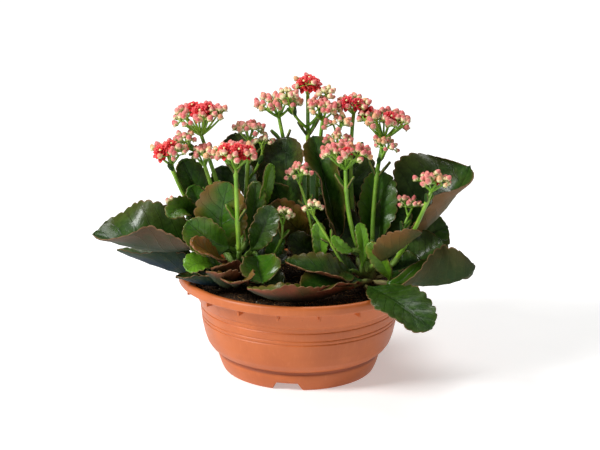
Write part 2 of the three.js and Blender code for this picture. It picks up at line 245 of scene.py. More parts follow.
def rounded(profile, reach):
    """The profile with each corner turned into a short curve."""
    curve = [profile[0]]
    for before, corner, after in zip(profile, profile[1:], profile[2:]):
        before, corner, after = (np.array(p, float) for p in (before, corner, after))
        back, on = before - corner, after - corner
        start = corner + back * min(CORNER_MOST, reach / np.linalg.norm(back))
        end = corner + on * min(CORNER_MOST, reach / np.linalg.norm(on))
        for share in (0, 0.5, 1):
            curve.append(
                (1 - share) ** 2 * start + 2 * share * (1 - share) * corner + share**2 * end
            )
    return [*curve, profile[-1]]


def turned_round(profile, sides):
    """A closed solid turned round the bowl's axis from a profile that starts and ends on it."""
    points, faces = [at(0, 0, profile[0][1])], []
    rings = profile[1:-1]
    for radius, height in rings:
        for side in range(sides):
            angle = 2 * math.pi * side / sides
            points.append(at(*polar(radius, angle), height))
    points.append(at(0, 0, profile[-1][1]))
    last = len(points) - 1
    for side in range(sides):
        after = (side + 1) % sides
        faces.append((0, 1 + after, 1 + side))
        for ring in range(len(rings) - 1):
            low, high = 1 + ring * sides, 1 + (ring + 1) * sides
            faces.append((low + side, low + after, high + after, high + side))
        low = 1 + (len(rings) - 1) * sides
        faces.append((low + side, low + after, last))
    return points, faces


terracotta, tree, place = new_finish("terracotta_plastic")
cloudy = noise(tree, place, 34, detail=4)
streaky = noise(tree, stretched(tree, place, (1, 1, 0.12)), 420, detail=2)
speckle = noise(tree, place, 2600, detail=2)
level = part_of(tree, place, 2)
# painted shade: a dark band round the waist, under the belly's overhang, where the bowl faces down
# into shadow
waist_painted_shade = level.clamped(15 * MM, 17.2 * MM) * (1 - level.clamped(19 * MM, 21.5 * MM))
clay = blended(tree, cloudy.clamped(0.3, 0.7), colour(176, 90, 38), colour(188, 99, 44))
clay = blended(tree, streaky.clamped(0.52, 0.8) * 0.14, clay, colour(214, 130, 86))
clay = blended(tree, waist_painted_shade * 0.6, clay, colour(112, 46, 30))
finish_with(tree, {
    "Base Color": clay,
    "Roughness": 0.34 + cloudy * 0.16 + streaky * 0.08,
    "Normal": bump(tree, 0.25, 0.0002, speckle + streaky * 0.6),
})

NOTCHES, FIRST_NOTCH = 3, -98
NOTCH_BELOW, NOTCH_ABOVE, NOTCH_HIGH = 28.6, 20.0, 8.0
NOTCH_REACH = (60, 90)
DRAINS, DRAIN_RADIUS, DRAIN_CIRCLE, DRAIN_SIDES = 6, 3.5, 44, 24
bowl_points, bowl_faces = turned_round(
    [(0, FLOOR_UNDER), (72.2, FLOOR_UNDER), (69.4, 0.6), *rounded([(69.6, 0), *OUTSIDE], CORNER),
     *rounded(INSIDE, 2 * CORNER), (0, FLOOR_OVER)],
    BOWL_SIDES,
)
bowl = mesh_piece("planter_bowl", bowl_points, bowl_faces, terracotta)
gap_points, gap_faces = [], []


def close_off(first, sides):
    """The faces of a prism between two rings of points, the first one starting at first."""
    ring = range(first, first + sides)
    gap_faces.append(tuple(reversed(ring)))
    gap_faces.append(tuple(i + sides for i in ring))
    gap_faces.extend(band(first, first + sides, sides))


for notch in range(NOTCHES):
    angle = math.radians(FIRST_NOTCH + notch * 360 / NOTCHES)
    out = np.array([*polar(1, angle), 0])
    along = np.array([-math.sin(angle), math.cos(angle), 0])
    first = len(gap_points)
    for distance in NOTCH_REACH:
        for half, height in (
            (-NOTCH_BELOW / 2, -1), (NOTCH_BELOW / 2, -1), (NOTCH_BELOW / 2, 0),
            (NOTCH_ABOVE / 2, NOTCH_HIGH), (-NOTCH_ABOVE / 2, NOTCH_HIGH), (-NOTCH_BELOW / 2, 0),
        ):
            gap_points.append(at(*(out * distance + along * half + np.array([0, 0, height]))))
    close_off(first, 6)
for drain in range(DRAINS):
    angle = 2 * math.pi * drain / DRAINS
    first = len(gap_points)
    for height in (FLOOR_UNDER - 3, FLOOR_OVER + 3):
        for side in range(DRAIN_SIDES):
            turn = 2 * math.pi * side / DRAIN_SIDES
            spot = np.add(polar(DRAIN_CIRCLE, angle), polar(DRAIN_RADIUS, turn))
            gap_points.append(at(*spot, height))
    close_off(first, DRAIN_SIDES)
gaps = mesh_piece("gap_cutter", gap_points, gap_faces, smooth=False)
cut = bowl.modifiers.new("gaps", "BOOLEAN")
cut.object, cut.operation, cut.solver = gaps, "DIFFERENCE", "EXACT"
work_in(bowl)
bpy.data.objects.remove(gaps)

RIBS, FIRST_RIB = 18, -80
RIB_WIDE, RIB_LONG, RIB_HIGH, RIB_OUT, RIB_UP = 1.6, 9.0, 6.0, 106.5, 84.3


class Pattern(NodeTree):
    """A Geometry Nodes tree with named inputs, worked into a piece's mesh by applied_to()."""

    def __init__(self, name, inputs):
        super().__init__(bpy.data.node_groups.new(name, "GeometryNodeTree"))
        face = self.tree.interface
        face.new_socket("Geometry", in_out="INPUT", socket_type="NodeSocketGeometry")
        self.keys = {
            title: face.new_socket(title, in_out="INPUT", socket_type=kind).identifier
            for title, kind in inputs.items()
        }
        face.new_socket("Geometry", in_out="OUTPUT", socket_type="NodeSocketGeometry")
        self.start = self.tree.nodes.new("NodeGroupInput")

    def given(self, title="Geometry"):
        return Socket(self, self.start.outputs[title])

    def joined(self, *parts):
        join = self.tree.nodes.new("GeometryNodeJoinGeometry")
        for part in parts:
            self.tree.links.new(part.end, join.inputs[0])
        return Socket(self, join.outputs[0])

    def ends_with(self, geometry):
        end = self.tree.nodes.new("NodeGroupOutput")
        self.tree.links.new(geometry.end, end.inputs[0])

    def applied_to(self, piece, **values):
        modifier = piece.modifiers.new(self.tree.name, "NODES")
        modifier.node_group = self.tree
        for title, value in values.items():
            modifier[self.keys[title]] = value
        work_in(piece)


ribs = Pattern("rim_ribs", {
    "Count": "NodeSocketInt", "Circle": "NodeSocketFloat", "Height": "NodeSocketFloat",
    "First": "NodeSocketFloat", "Size": "NodeSocketVector", "Axis": "NodeSocketVector",
    "Plastic": "NodeSocketMaterial",
})
index = ribs.node("GeometryNodeInputIndex")
turn = ribs.given("First") + index * (2 * math.pi) / ribs.given("Count")
spot = ribs.node("ShaderNodeCombineXYZ", {}, {
    "X": turn.maths("COSINE", turn) * ribs.given("Circle"),
    "Y": turn.sine() * ribs.given("Circle"),
    "Z": ribs.given("Height"),
})
spot = ribs.node("ShaderNodeVectorMath", {"operation": "ADD"}, {0: spot, 1: ribs.given("Axis")})
places = ribs.node("GeometryNodePoints", {}, {"Count": ribs.given("Count"), "Position": spot})
facing = ribs.node("ShaderNodeCombineXYZ", {}, {"Z": turn})
rib = ribs.node("GeometryNodeMeshCube", {}, {"Size": ribs.given("Size")})
copies = ribs.node("GeometryNodeInstanceOnPoints", {}, {
    "Points": places, "Instance": rib, "Rotation": facing,
})
solid_ribs = ribs.node("GeometryNodeRealizeInstances", {}, {"Geometry": copies})
solid_ribs = ribs.node("GeometryNodeSetMaterial", {}, {
    "Geometry": solid_ribs, "Material": ribs.given("Plastic"),
})
ribs.ends_with(ribs.joined(ribs.given(), solid_ribs))
ribs.applied_to(
    bowl, Count=RIBS, Circle=RIB_OUT * MM, Height=RIB_UP * MM, First=math.radians(FIRST_RIB),
    Size=(RIB_LONG * MM, RIB_WIDE * MM, RIB_HIGH * MM), Axis=tuple(AXIS), Plastic=terracotta,
)
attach(bowl, "root")
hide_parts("bowl")


# ------------------------------------------------------------------ potting soil
# Dark peat pressed in by hand to just under the rim, lower at the wall, with crumbs, coarse
# golden-brown fibres and a few pale grains of perlite lying loose on it.
SOIL_RINGS, SOIL_SIDES = 56, 160
SOIL_RADIUS, SOIL_TOP, SOIL_EDGE, SOIL_UNDER = 97.6, 87.4, 84.6, 70.0
SOIL_SIDE_RADIUS = 93.2
CRUMBS, FIBRES, GRAINS = 5200, 1500, 130
SOIL_WAVES, WAVE_TURN, LUMPS_HIGH = 22, 6.28, 0.0045

rng = np.random.default_rng(7)
soil_waves = [(rng.uniform(20, 90), rng.uniform(0, 2 * math.pi), rng.uniform(0, 2 * math.pi))
              for _ in range(SOIL_WAVES)]


def soil_height(x, y):
    """The lie of the soil: a low crown with soft lumps, falling away near the wall."""
    out = math.hypot(x, y) / SOIL_RADIUS
    lumps = sum(
        size * math.sin(
            x * WAVE_TURN / size * math.cos(way) + y * WAVE_TURN / size * math.sin(way) + start
        )
        for size, way, start in soil_waves
    )
    return SOIL_TOP - (SOIL_TOP - SOIL_EDGE) * out**4 + LUMPS_HIGH * lumps


soil_points, soil_faces = [at(0, 0, soil_height(0, 0))], []
for ring in range(1, SOIL_RINGS + 1):
    for side in range(SOIL_SIDES):
        angle = 2 * math.pi * side / SOIL_SIDES
        radius = SOIL_RADIUS * (ring / SOIL_RINGS) ** 0.8
        x, y = polar(radius, angle)
        soil_points.append(at(x, y, soil_height(x, y)))
for side in range(SOIL_SIDES):
    angle = 2 * math.pi * side / SOIL_SIDES
    soil_points.append(at(*polar(SOIL_SIDE_RADIUS, angle), SOIL_UNDER))
soil_points.append(at(0, 0, SOIL_UNDER))
for side in range(SOIL_SIDES):
    after = (side + 1) % SOIL_SIDES
    soil_faces.append((0, 1 + side, 1 + after))
    for ring in range(SOIL_RINGS):
        near, far = 1 + ring * SOIL_SIDES, 1 + (ring + 1) * SOIL_SIDES
        soil_faces.append((near + side, far + side, far + after, near + after))
    rim = 1 + SOIL_RINGS * SOIL_SIDES
    soil_faces.append((rim + side, len(soil_points) - 1, rim + after))

peat, tree, place = new_finish("peat")
clods = noise(tree, place, 260, detail=6, roughness=0.7)
flecks = noise(tree, place, 1500, detail=3)
earth = blended(tree, clods.clamped(0.35, 0.7), colour(38, 26, 15), colour(86, 58, 33))
earth = blended(tree, flecks.clamped(0.6, 0.72) * 0.8, earth, colour(138, 98, 52))
finish_with(tree, {
    "Base Color": earth,
    "Roughness": 0.85 + flecks * 0.12,
    "Normal": bump(tree, 0.9, 0.0014, clods + flecks * 0.4),
})

fibre, tree, place = new_finish("bark_fibre")
shade = noise(tree, place, 120, detail=2)
finish_with(tree, {
    "Base Color": blended(tree, shade.clamped(0.4, 0.62), colour(58, 38, 20), colour(158, 112, 58)),
    "Roughness": 0.7 + shade * 0.2,
})

perlite, tree, place = new_finish("perlite")
shade = noise(tree, place, 900, detail=3)
pale = blended(tree, shade.clamped(0.4, 0.7), colour(196, 184, 158), colour(232, 226, 208))
finish_with(tree, {
    "Base Color": pale,
    "Roughness": 0.75 + shade * 0.15,
})

litter = Pattern("soil_litter", {
    "Crumbs": "NodeSocketFloat", "Fibres": "NodeSocketFloat", "Grains": "NodeSocketFloat",
    "Crumb": "NodeSocketObject", "Fibre": "NodeSocketObject", "Grain": "NodeSocketObject",
    "Seed": "NodeSocketInt",
})


def strewn(pattern, title, solid, seed, smallest, largest, flat):
    """Copies of one solid strewn over the upward faces of the pattern's own mesh."""
    normal = pattern.node("GeometryNodeInputNormal")
    upward = pattern.node("ShaderNodeVectorMath", {"operation": "DOT_PRODUCT"},
                          {0: normal, 1: (0, 0, 1)}, output=1)
    upward = pattern.node("FunctionNodeCompare", {"operation": "GREATER_THAN"}, {0: upward, 1: 0.5})
    spots = pattern.node("GeometryNodeDistributePointsOnFaces", {}, {
        "Mesh": pattern.given(), "Selection": upward, "Density": pattern.given(title),
        "Seed": pattern.given("Seed") + seed,
    })
    spin = pattern.node("FunctionNodeRandomValue", {"data_type": "FLOAT_VECTOR"}, {
        0: (-flat, -flat, 0), 1: (flat, flat, 2 * math.pi), "Seed": seed + 1,
    })
    size = pattern.node("FunctionNodeRandomValue", {"data_type": "FLOAT_VECTOR"}, {
        0: (smallest,) * 3, 1: (largest,) * 3, "Seed": seed + 2,
    })
    shape = pattern.node("GeometryNodeObjectInfo", {}, {"Object": pattern.given(solid)},
                         output="Geometry")
    copies = pattern.node("GeometryNodeInstanceOnPoints", {}, {
        "Points": spots, "Instance": shape, "Rotation": spin, "Scale": size,
    })
    return pattern.node("GeometryNodeRealizeInstances", {}, {"Geometry": copies})


litter.ends_with(litter.joined(
    litter.given(),
    strewn(litter, "Crumbs", "Crumb", 11, 0.4, 1.5, 3.0),
    strewn(litter, "Fibres", "Fibre", 23, 0.35, 1.1, 0.45),
    strewn(litter, "Grains", "Grain", 37, 0.5, 1.2, 3.0),
))


def pebble(name, radius, uneven, finish, seed):
    """A small uneven lump with twenty faces."""
    lump = bmesh.new()
    bmesh.ops.create_icosphere(lump, subdivisions=1, radius=radius * MM)
    draw = random.Random(seed)
    for vertex in lump.verts:
        vertex.co *= 1 + draw.uniform(-uneven, uneven)
    mesh = bpy.data.meshes.new(name)
    lump.to_mesh(mesh)
    lump.free()
    mesh.materials.append(finish)
    piece = bpy.data.objects.new(name, mesh)
    scene.collection.objects.link(piece)
    return piece


def swept(path, radii, sides):
    """Points and faces of a closed tube along a path of points, in the path's own unit."""
    path = np.array(path, float)
    along = np.gradient(path, axis=0)
    along /= np.linalg.norm(along, axis=1)[:, None]
    side = np.cross(along[0], (0.31, 0.17, 0.94) if abs(along[0][2]) < 0.9 else (1.0, 0.2, 0.0))
    points, faces = [], []
    for spot, way, radius in zip(path, along, radii):
        side = side - way * side.dot(way)
        side /= np.linalg.norm(side)
        other = np.cross(way, side)
        for k in range(sides):
            angle = 2 * math.pi * k / sides
            points.append(spot + radius * (math.cos(angle) * side + math.sin(angle) * other))
    for ring in range(len(path) - 1):
        faces += band(ring * sides, (ring + 1) * sides, sides)
    faces.append(tuple(range(sides - 1, -1, -1)))
    faces.append(tuple(range((len(path) - 1) * sides, len(path) * sides)))
    return points, faces


crumb = pebble("crumb", 1.0, 0.35, peat, 3)
grain = pebble("grain", 0.8, 0.2, perlite, 4)
strand_path = [(-4.2, 0, 0.1), (-2, 0.7, 0.6), (0, 0.2, 0.9), (2.2, -0.6, 0.5), (4.4, 0.1, 0.2)]
strand_points, strand_faces = swept(strand_path, [0.2, 0.32, 0.35, 0.3, 0.16], sides=5)
strand = mesh_piece("strand", [MM * p for p in strand_points], strand_faces, fibre)
soil = mesh_piece("potting_soil", soil_points, soil_faces, peat)
soil_area = math.pi * (SOIL_RADIUS * MM) ** 2
litter.applied_to(
    soil, Crumbs=CRUMBS / soil_area, Fibres=FIBRES / soil_area, Grains=GRAINS / soil_area,
    Crumb=crumb, Fibre=strand, Grain=grain, Seed=5,
)
for loose in (crumb, grain, strand):
    bpy.data.objects.remove(loose)
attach(soil, "root")
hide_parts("soil")


# ------------------------------------------------------------------ leaves
# Thick, fleshy, glossy leaves with scalloped margins, a sunken midrib and arched side veins. They
# grow in pairs from the shoots; the outer ones lie over the rim, folded up along the midrib.
BLADE_THICK, PETIOLE = 1.6, 2.2
WIDEST_AT, BLUNTNESS = 0.56, 2.4
TIP_OPENS_AT, TIP_OPENS = 0.62, 0.85
OPENING = 0.85  # below 1 the blade widens faster from its petiole
STEPS_CLOSE_UP = 1.6  # over 1 the rows close up towards the tip
FLAT_BELOW = 8  # half widths under this are neither folded nor curled
FULL_HALF_WIDTH = 25  # half widths from which ruffles and relief are at their full depth
VEINS, VEIN_SWEEP, VEIN_SHIFT = 7.5, 1.9, 0.45  # pairs of side veins, their slant and offset
RUFFLES, RUFFLE_DEEP = 2.2, 1.5
QUILT_DEEP, GROOVE_DEEP, GROOVE_WIDE = 0.55, 0.9, 1.7
SCALLOP_LONG, SCALLOP_DEEP = 9.5, 3.1
SCALLOPS_FROM, SCALLOPS_FULL_IN = 0.16, 0.14
SCALLOP_ROUND, SCALLOP_KEEPS_TO_EDGE, SCALLOP_MOST = 0.7, 5, 0.3
SCALLOPS_LONG_AT, SCALLOPS_DEEP_AT = (0.55, 130), (0.35, 90)  # smaller on a narrow leaf
RIPPLES, RIPPLE_DEEP = 4.6, 0.7
EDGE_THINNER, TIP_THIN, TIP_THIN_FROM = 0.55, 0.45, 0.02
PETIOLE_THICK = 1.6
UNDER_RIM_FROM, UNDER_RIM_IN = 0.15, 0.6  # where the underside's two colours blend

UPPER = {
    "deep": colour(32, 62, 12), "dark": colour(22, 42, 10), "mid": colour(52, 94, 14),
    "fresh": colour(94, 142, 30), "bronze": colour(92, 82, 20), "tawny": colour(122, 82, 30),
}
# the underside, at the keel and towards the margin: its own colours darkened with painted shade, and
# the blue of the teal keel a painted reflection
LOWER = {
    "mauve": (colour(26, 44, 22), colour(70, 52, 30)),
    "teal": (colour(8, 36, 52), colour(16, 42, 24)),
    "olive": (colour(36, 56, 16), colour(56, 54, 16)),
    "russet": (colour(46, 46, 36), colour(118, 62, 40)),
    "green": (colour(40, 74, 22), colour(50, 84, 26)),
    "bronze": (colour(76, 72, 26), colour(112, 78, 38)),
}
# name, root, bend and tip of the midrib, width, the way the upper face looks, how far each half
# folds up and curls on, the colour of each face, and how much of the blade has reddened
LEAVES = [
    ("left_outer_long", (-86, -14, 122), (-128, -46, 116), (-190.5, -41.2, 139.3), 94,
     (0.8, -0.08, 0.6), 51, 14, "deep", "mauve", 0.12),
    ("left_outer_low", (-70.2, -33.7, 100), (-88, -26.8, 85), (-172, -8, 114), 49,
     (0.24, 0.15, 0.96), 48, 21, "deep", "teal", 0.1),
    ("left_rim", (-62, -48, 93), (-88, -66, 98), (-113, -54, 104), 32,
     (0, 0, 1), 35, 20, "dark", "teal", 0.2),
    ("left_front_low", (-58, -54, 100), (-64, -84, 95), (-84, -86, 119), 44,
     (0, 0.3, 1), 35, 20, "deep", "russet", 0.5),
    ("left_front_cupped", (-40, -40, 120), (-36, -66, 106), (-33, -84, 108), 56,
     (0, -0.5, 0.9), 30, 42, "mid", "green", 0.2),
    ("left_upright_large", (-64, -37, 124), (-80, -44, 148), (-66, -40, 191), 52,
     (-0.05, -1, 0.2), 9, 12, "mid", "olive", 0.75),
    ("left_upright_small", (-50, -18, 128), (-42, -18, 160), (-42, -16, 186), 24,
     (0.3, -1, 0), 20, 20, "mid", "green", 0.2),
    ("left_drooping", (-100, -20, 150), (-107, -36, 174), (-120, -56, 161), 25,
     (0, -1, 0.5), 15, 20, "mid", "green", 0.2),
    ("left_front_dark", (-44, -43, 128), (-33, -51, 146), (-27, -46, 171), 30,
     (0, -1, 0.2), 20, 20, "deep", "green", 0.1),
    ("left_reddish", (-68, -48, 116), (-80, -74, 128), (-99, -81, 148), 26,
     (0, -0.6, 1), 20, 20, "tawny", "russet", 0.8),
    ("left_back_dark", (-78, 4, 133), (-96, 12, 161), (-112, 14, 198), 38,
     (0.5, -1, 0), 20, 20, "deep", "green", 0.1),
    ("back_left_tall", (-30, 52, 138), (-60, 72, 172), (-64, 84, 206), 45,
     (0.3, -1, 0), 20, 25, "dark", "olive", 0.1),
    ("back_left_narrow", (-14, 42, 145), (-33, 48, 176), (-38, 54, 210), 34,
     (0, -1, 0), 20, 20, "dark", "olive", 0.1),
    ("back_centre_large", (-12.9, 23.2, 121.2), (-13.4, 9.7, 181.8), (-12.2, 21.6, 218.8), 59,
     (-0.56, -0.83, 0.04), 11, 28, "dark", "olive", 0.15),
    ("centre_folded", (36.6, -2, 121.5), (26.6, -15, 173.2), (11.2, 3.4, 223.8), 50,
     (0.14, -0.82, 0.55), 49, 29, "deep", "mauve", 0.3),
    ("centre_bronze", (5, 8, 122), (-7, -10, 145), (-29, -8, 160), 40,
     (-0.3, -1, 0.6), 15, 25, "bronze", "russet", 0.9),
    ("back_right_tall", (40, 32, 125), (52, 34, 160), (48, 40, 205), 56,
     (0, -1, 0), 15, 25, "dark", "olive", 0.1),
    ("right_outer_large", (94.5, 4.6, 114.7), (143.9, 4.1, 151.1), (159.1, 7.8, 195.1), 137,
     (-0.76, -0.32, 0.56), 27, 34, "deep", "bronze", 0.15),
    ("right_outer_middle", (84, 16, 104), (108, 22, 118), (141, 28, 130), 58,
     (-0.3, -0.9, 0.3), 10, 15, "deep", "green", 0.15),
    ("right_glossy", (88, -14, 103), (103, -27, 111), (124, -22, 119), 38,
     (0, -0.5, 0.87), 10, 20, "dark", "olive", 0.1),
    ("right_outer_low", (82.2, -48, 98), (147.7, -77.1, 100), (161.3, -57.1, 117.4), 73,
     (-0.96, 0.28, 0.03), 42, 22, "mid", "olive", 0.2),
    ("right_hanging", (64.3, -61.3, 96.5), (84.8, -103.6, 103.2), (118, -121.3, 79.4), 51,
     (0.06, -0.41, 0.91), 6, 14, "deep", "green", 0.05),
    ("front_rim", (49.6, -58, 98), (-2, -101, 84), (-46, -112, 112), 47,
     (0, 0.25, 0.95), 32, 16, "mid", "russet", 0.5),
    ("front_low", (46, -42, 106), (34.6, -72, 104), (-13, -67, 124), 43,
     (0.75, -0.15, 0.65), 29, 22, "deep", "russet", 0.3),
    ("right_upright", (68, -6, 122), (72, 0, 151), (75, 8, 190), 44,
     (0, -1, 0), 20, 20, "mid", "green", 0.1),
    ("right_bronze", (70, -46, 116), (84, -76, 132), (110, -76, 156), 44,
     (-0.2, 0.5, 0.85), 30, 25, "mid", "bronze", 0.9),
    ("rear_right", (22, 54, 104), (44, 95, 124), (52, 118, 112), 60,
     (0, 0, 1), 20, 25, "deep", "olive", 0.15),
    ("rear_left", (-4, 54, 104), (-36, 92, 124), (-56, 116, 110), 58,
     (0, 0, 1), 20, 25, "mid", "olive", 0.1),
    ("rear_left_side", (-66, -6, 108), (-98, 40, 124), (-128, 72, 112), 60,
     (0, 0, 1), 20, 25, "deep", "olive", 0.2),
    ("rear_right_side", (58, 8, 108), (84, 66, 120), (110, 98, 106), 58,
     (0, 0, 1), 20, 25, "mid", "olive", 0.15),
    ("rear_upright", (14, 50, 126), (22, 84, 150), (18, 96, 182), 54,
     (0, 1, 0.4), 15, 25, "deep", "green", 0.1),
]


def young(root, bend, tip, width, face, above="dark", below="olive", reddened=0.1, fold=15,
          curl=20):
    """A row like those above for one of the small leaves, which have no name of their own."""
    return "", root, bend, tip, width, face, fold, curl, above, below, reddened


YOUNG_LEAVES = {
    "left": [
        young((-54, -46, 98), (-56, -74, 98), (-62, -96, 112), 46, (0.1, 0.35, 0.93),
              "bronze", "russet", 0.6, fold=34),
        young((-48, -44, 100), (-34, -60, 98), (-14, -70, 104), 36, (0, -0.3, 1), fold=22),
        young((-66, -4, 130), (-70, 4, 160), (-74, 8, 194), 34, (0.1, -1, 0), "deep", "green"),
        young((-38, -12, 150), (-33, -15, 178), (-28, -14, 203), 16, (0.6, -1, 0),
              "fresh", "green", 0.0),
        young((-62, -40, 104), (-78, -54, 106), (-99, -58, 113), 38, (0, -0.3, 1), "deep"),
        young((-54, -14, 112), (-34, 0, 132), (-22, 4, 150), 38, (0.2, -1, 0.3)),
        young((-50, -20, 108), (-30, -28, 114), (-12, -34, 112), 34, (0.1, -0.4, 1)),
        young((-76, -4, 120), (-92, 0, 140), (-84, 2, 172), 36, (0, -1, 0), "deep", "green"),
        young((-66, -46, 130), (-84, -57, 138), (-103, -56, 158), 38, (-0.1, -1, 0.4),
              "mid", "green", 0.2),
        young((-81, -52, 112), (-93, -62, 124), (-103, -66, 114), 26, (0, -0.7, 1),
              "fresh", "green", 0.0, fold=12),
        young((-89, -12, 145), (-93, -14, 162), (-103, -14, 180), 22, (0.3, -1, 0.2),
              "mid", "green", 0.0),
        young((-29, -30, 112), (-24, -34, 125), (-18, -30, 139), 20, (0, -1, 0.3),
              "mid", "green", 0.0),
        young((-47, -62, 100), (-60, -72, 104), (-80, -74, 118), 40, (0.1, 0.5, 1),
              "bronze", "russet", 0.8, fold=50),
        young((-66, -2, 112), (-84, 12, 132), (-92, 22, 150), 26, (-0.5, 0.7, 0.5),
              "mid", "green"),
    ],
    "right": [
        young((56, -52, 100), (34, -66, 100), (2, -84, 104), 44, (0.1, -0.25, 0.95),
              "deep", "russet", 0.3, fold=26),
        young((92, -18, 104), (112, -28, 116), (132, -24, 132), 50, (-0.35, -0.75, 0.55),
              "deep", fold=12, curl=25),
        young((80, -30, 100), (96, -34, 104), (114, -30, 113), 38, (-0.2, -0.6, 0.8), "deep"),
        young((58, -16, 112), (46, -6, 134), (36, -2, 156), 34, (0, -1, 0.2)),
        young((74, -12, 112), (84, 2, 140), (92, 6, 166), 42, (0, -1, 0.1), "deep", "green"),
        young((80, -14, 106), (100, -4, 116), (114, 2, 132), 44, (-0.2, -0.8, 0.5),
              "deep", "green"),
        young((54, -30, 102), (38, -34, 108), (20, -30, 112), 34, (0, -0.4, 1)),
        young((21, -42, 116), (19, -46, 134), (16, -44, 155), 18, (0, -1, 0.2),
              "fresh", "green", 0.0, fold=20),
        young((84, -45, 102), (77, -58, 122), (63, -54, 139), 20, (-0.3, -1, 0.3),
              "fresh", "green", 0.3, fold=20),
        young((58, -38, 111), (61, -42, 138), (54, -36, 152), 15, (0, -1, 0),
              "fresh", "green", 0.0, fold=20),
        young((48, -46, 129), (39, -52, 129), (30, -50, 144), 13, (0, -1, 0.4),
              "fresh", "green", 0.0, fold=20),
        young((88, 6, 112), (112, 30, 132), (122, 44, 146), 30, (0.2, 0.8, 0.6), "mid", "green"),
    ],
    "back": [
        young((0, 44, 102), (-6, 64, 104), (-34, 74, 114), 46, (0, -0.9, 0.5)),
        young((20, 44, 102), (34, 62, 104), (60, 70, 114), 46, (0, -0.9, 0.5)),
        young((8, 44, 106), (8, 60, 112), (6, 66, 132), 50, (0, -1, 0.3)),
        young((8, 30, 112), (-14, 14, 132), (-30, 2, 140), 40, (-0.2, -1, 0.6)),
        young((16, 28, 112), (30, 6, 126), (40, -12, 134), 38, (0.2, -1, 0.6)),
        young((0, 30, 120), (-20, 20, 150), (-24, 14, 176), 40, (0, -1, 0.1)),
        young((24, 34, 116), (40, 28, 142), (30, 22, 172), 44, (0, -1, 0)),
        young((4, 40, 112), (-40, 40, 124), (-62, 34, 140), 44, (0, -1, 0.4)),
        young((22, 44, 112), (60, 44, 126), (84, 40, 140), 46, (0, -1, 0.4)),
        young((10, 30, 104), (6, 0, 112), (-2, -18, 112), 36, (0, -0.6, 1)),
        young((19, -10, 110), (5, -20, 121), (-9, -14, 133), 28, (0, -1, 0.4)),
        young((28, 56, 118), (46, 74, 146), (50, 82, 168), 30, (0.2, 1, 0.3), "mid", "green"),
        young((-6, 60, 118), (-24, 78, 146), (-26, 84, 172), 30, (-0.2, 1, 0.3), "mid", "green"),
    ],
}

leaf_flesh, tree, place = new_finish("leaf_flesh")
blade_place = marked(tree, "blade", "Vector")
across, along = part_of(tree, blade_place, 0), part_of(tree, blade_place, 1)
upper = marked(tree, "upper", "Color")
lower = marked(tree, "lower", "Color")
under = marked(tree, "under")
redden = marked(tree, "redden")
cloud = noise(tree, place, 42, detail=3)
mottle = noise(tree, place, 210, detail=4, roughness=0.6)
grit = noise(tree, place, 1400, detail=2)
out = abs(across)
other_half = across.maths("GREATER_THAN", across, 0.0)
vein_count = along * VEINS - out * VEIN_SWEEP + other_half * VEIN_SHIFT + (cloud - 0.5) * 0.7
vein_gap = abs(vein_count.fraction() - 0.5) * 2
side_veins = vein_gap.clamped(0.9, 1.0) * (1 - out.clamped(0.75, 0.98))
midrib_line = 1 - out.clamped(0.0, 0.055)
mesh_cells = tree.node("ShaderNodeTexVoronoi", {"feature": "DISTANCE_TO_EDGE"}, {
    "Vector": place, "Scale": 190.0, "Randomness": 1.0,
})
net = (1 - mesh_cells.clamped(0.0, 0.09)) * 0.45
veins = (side_veins + net * 0.5).maths("MAXIMUM", side_veins + net * 0.5, midrib_line)
lit = blended(tree, mottle.clamped(0.35, 0.72) * 0.35, upper, colour(74, 108, 34))
lit = blended(tree, veins * 0.5, lit, colour(14, 30, 10))
lit = blended(tree, cloud.clamped(0.42, 0.7) * 0.5 * redden, lit, colour(124, 84, 38))
lit = blended(tree, (out + along * 0.5).clamped(0.75, 1.35) * redden * 0.75, lit,
              colour(136, 84, 44))
# the underside's own colour, darkened with painted shade, with a painted blue reflection at the keel
# of teal leaves
shaded = blended(tree, cloud.clamped(0.45, 0.7) * 0.55, lower, colour(36, 58, 24))
shaded = blended(tree, mottle.clamped(0.5, 0.75) * 0.25, shaded, colour(84, 76, 46))
shaded = blended(tree, veins * 0.25, shaded, colour(70, 78, 40))
skin = blended(tree, under, lit, shaded)
margin = (out + (mottle - 0.5) * 0.05).clamped(0.955, 0.995) * 0.6
skin = blended(tree, margin, skin, colour(132, 96, 66))
finish_with(tree, {
    "Base Color": skin,
    "Roughness": 0.27 + mottle * 0.14 + under * 0.35,
    "Normal": bump(tree, 0.7, 0.0005, mottle * 0.5 + grit * 0.12 - veins * 0.8),
    "Coat Weight": 0.16 - under * 0.16,
    "Coat Roughness": 0.18,
    "Specular IOR Level": 0.24,
})


def bezier(root, bend, tip, along):
    root, bend, tip = (np.array(p, float) for p in (root, bend, tip))
    t = np.asarray(along, float)[:, None]
    points = (1 - t) ** 2 * root + 2 * t * (1 - t) * bend + t**2 * tip
    forward = (1 - t) * (bend - root) + t * (tip - bend)
    return points, forward / np.linalg.norm(forward, axis=1)[:, None]


def unit(rows):
    return rows / np.maximum(np.linalg.norm(rows, axis=-1, keepdims=True), 1e-9)


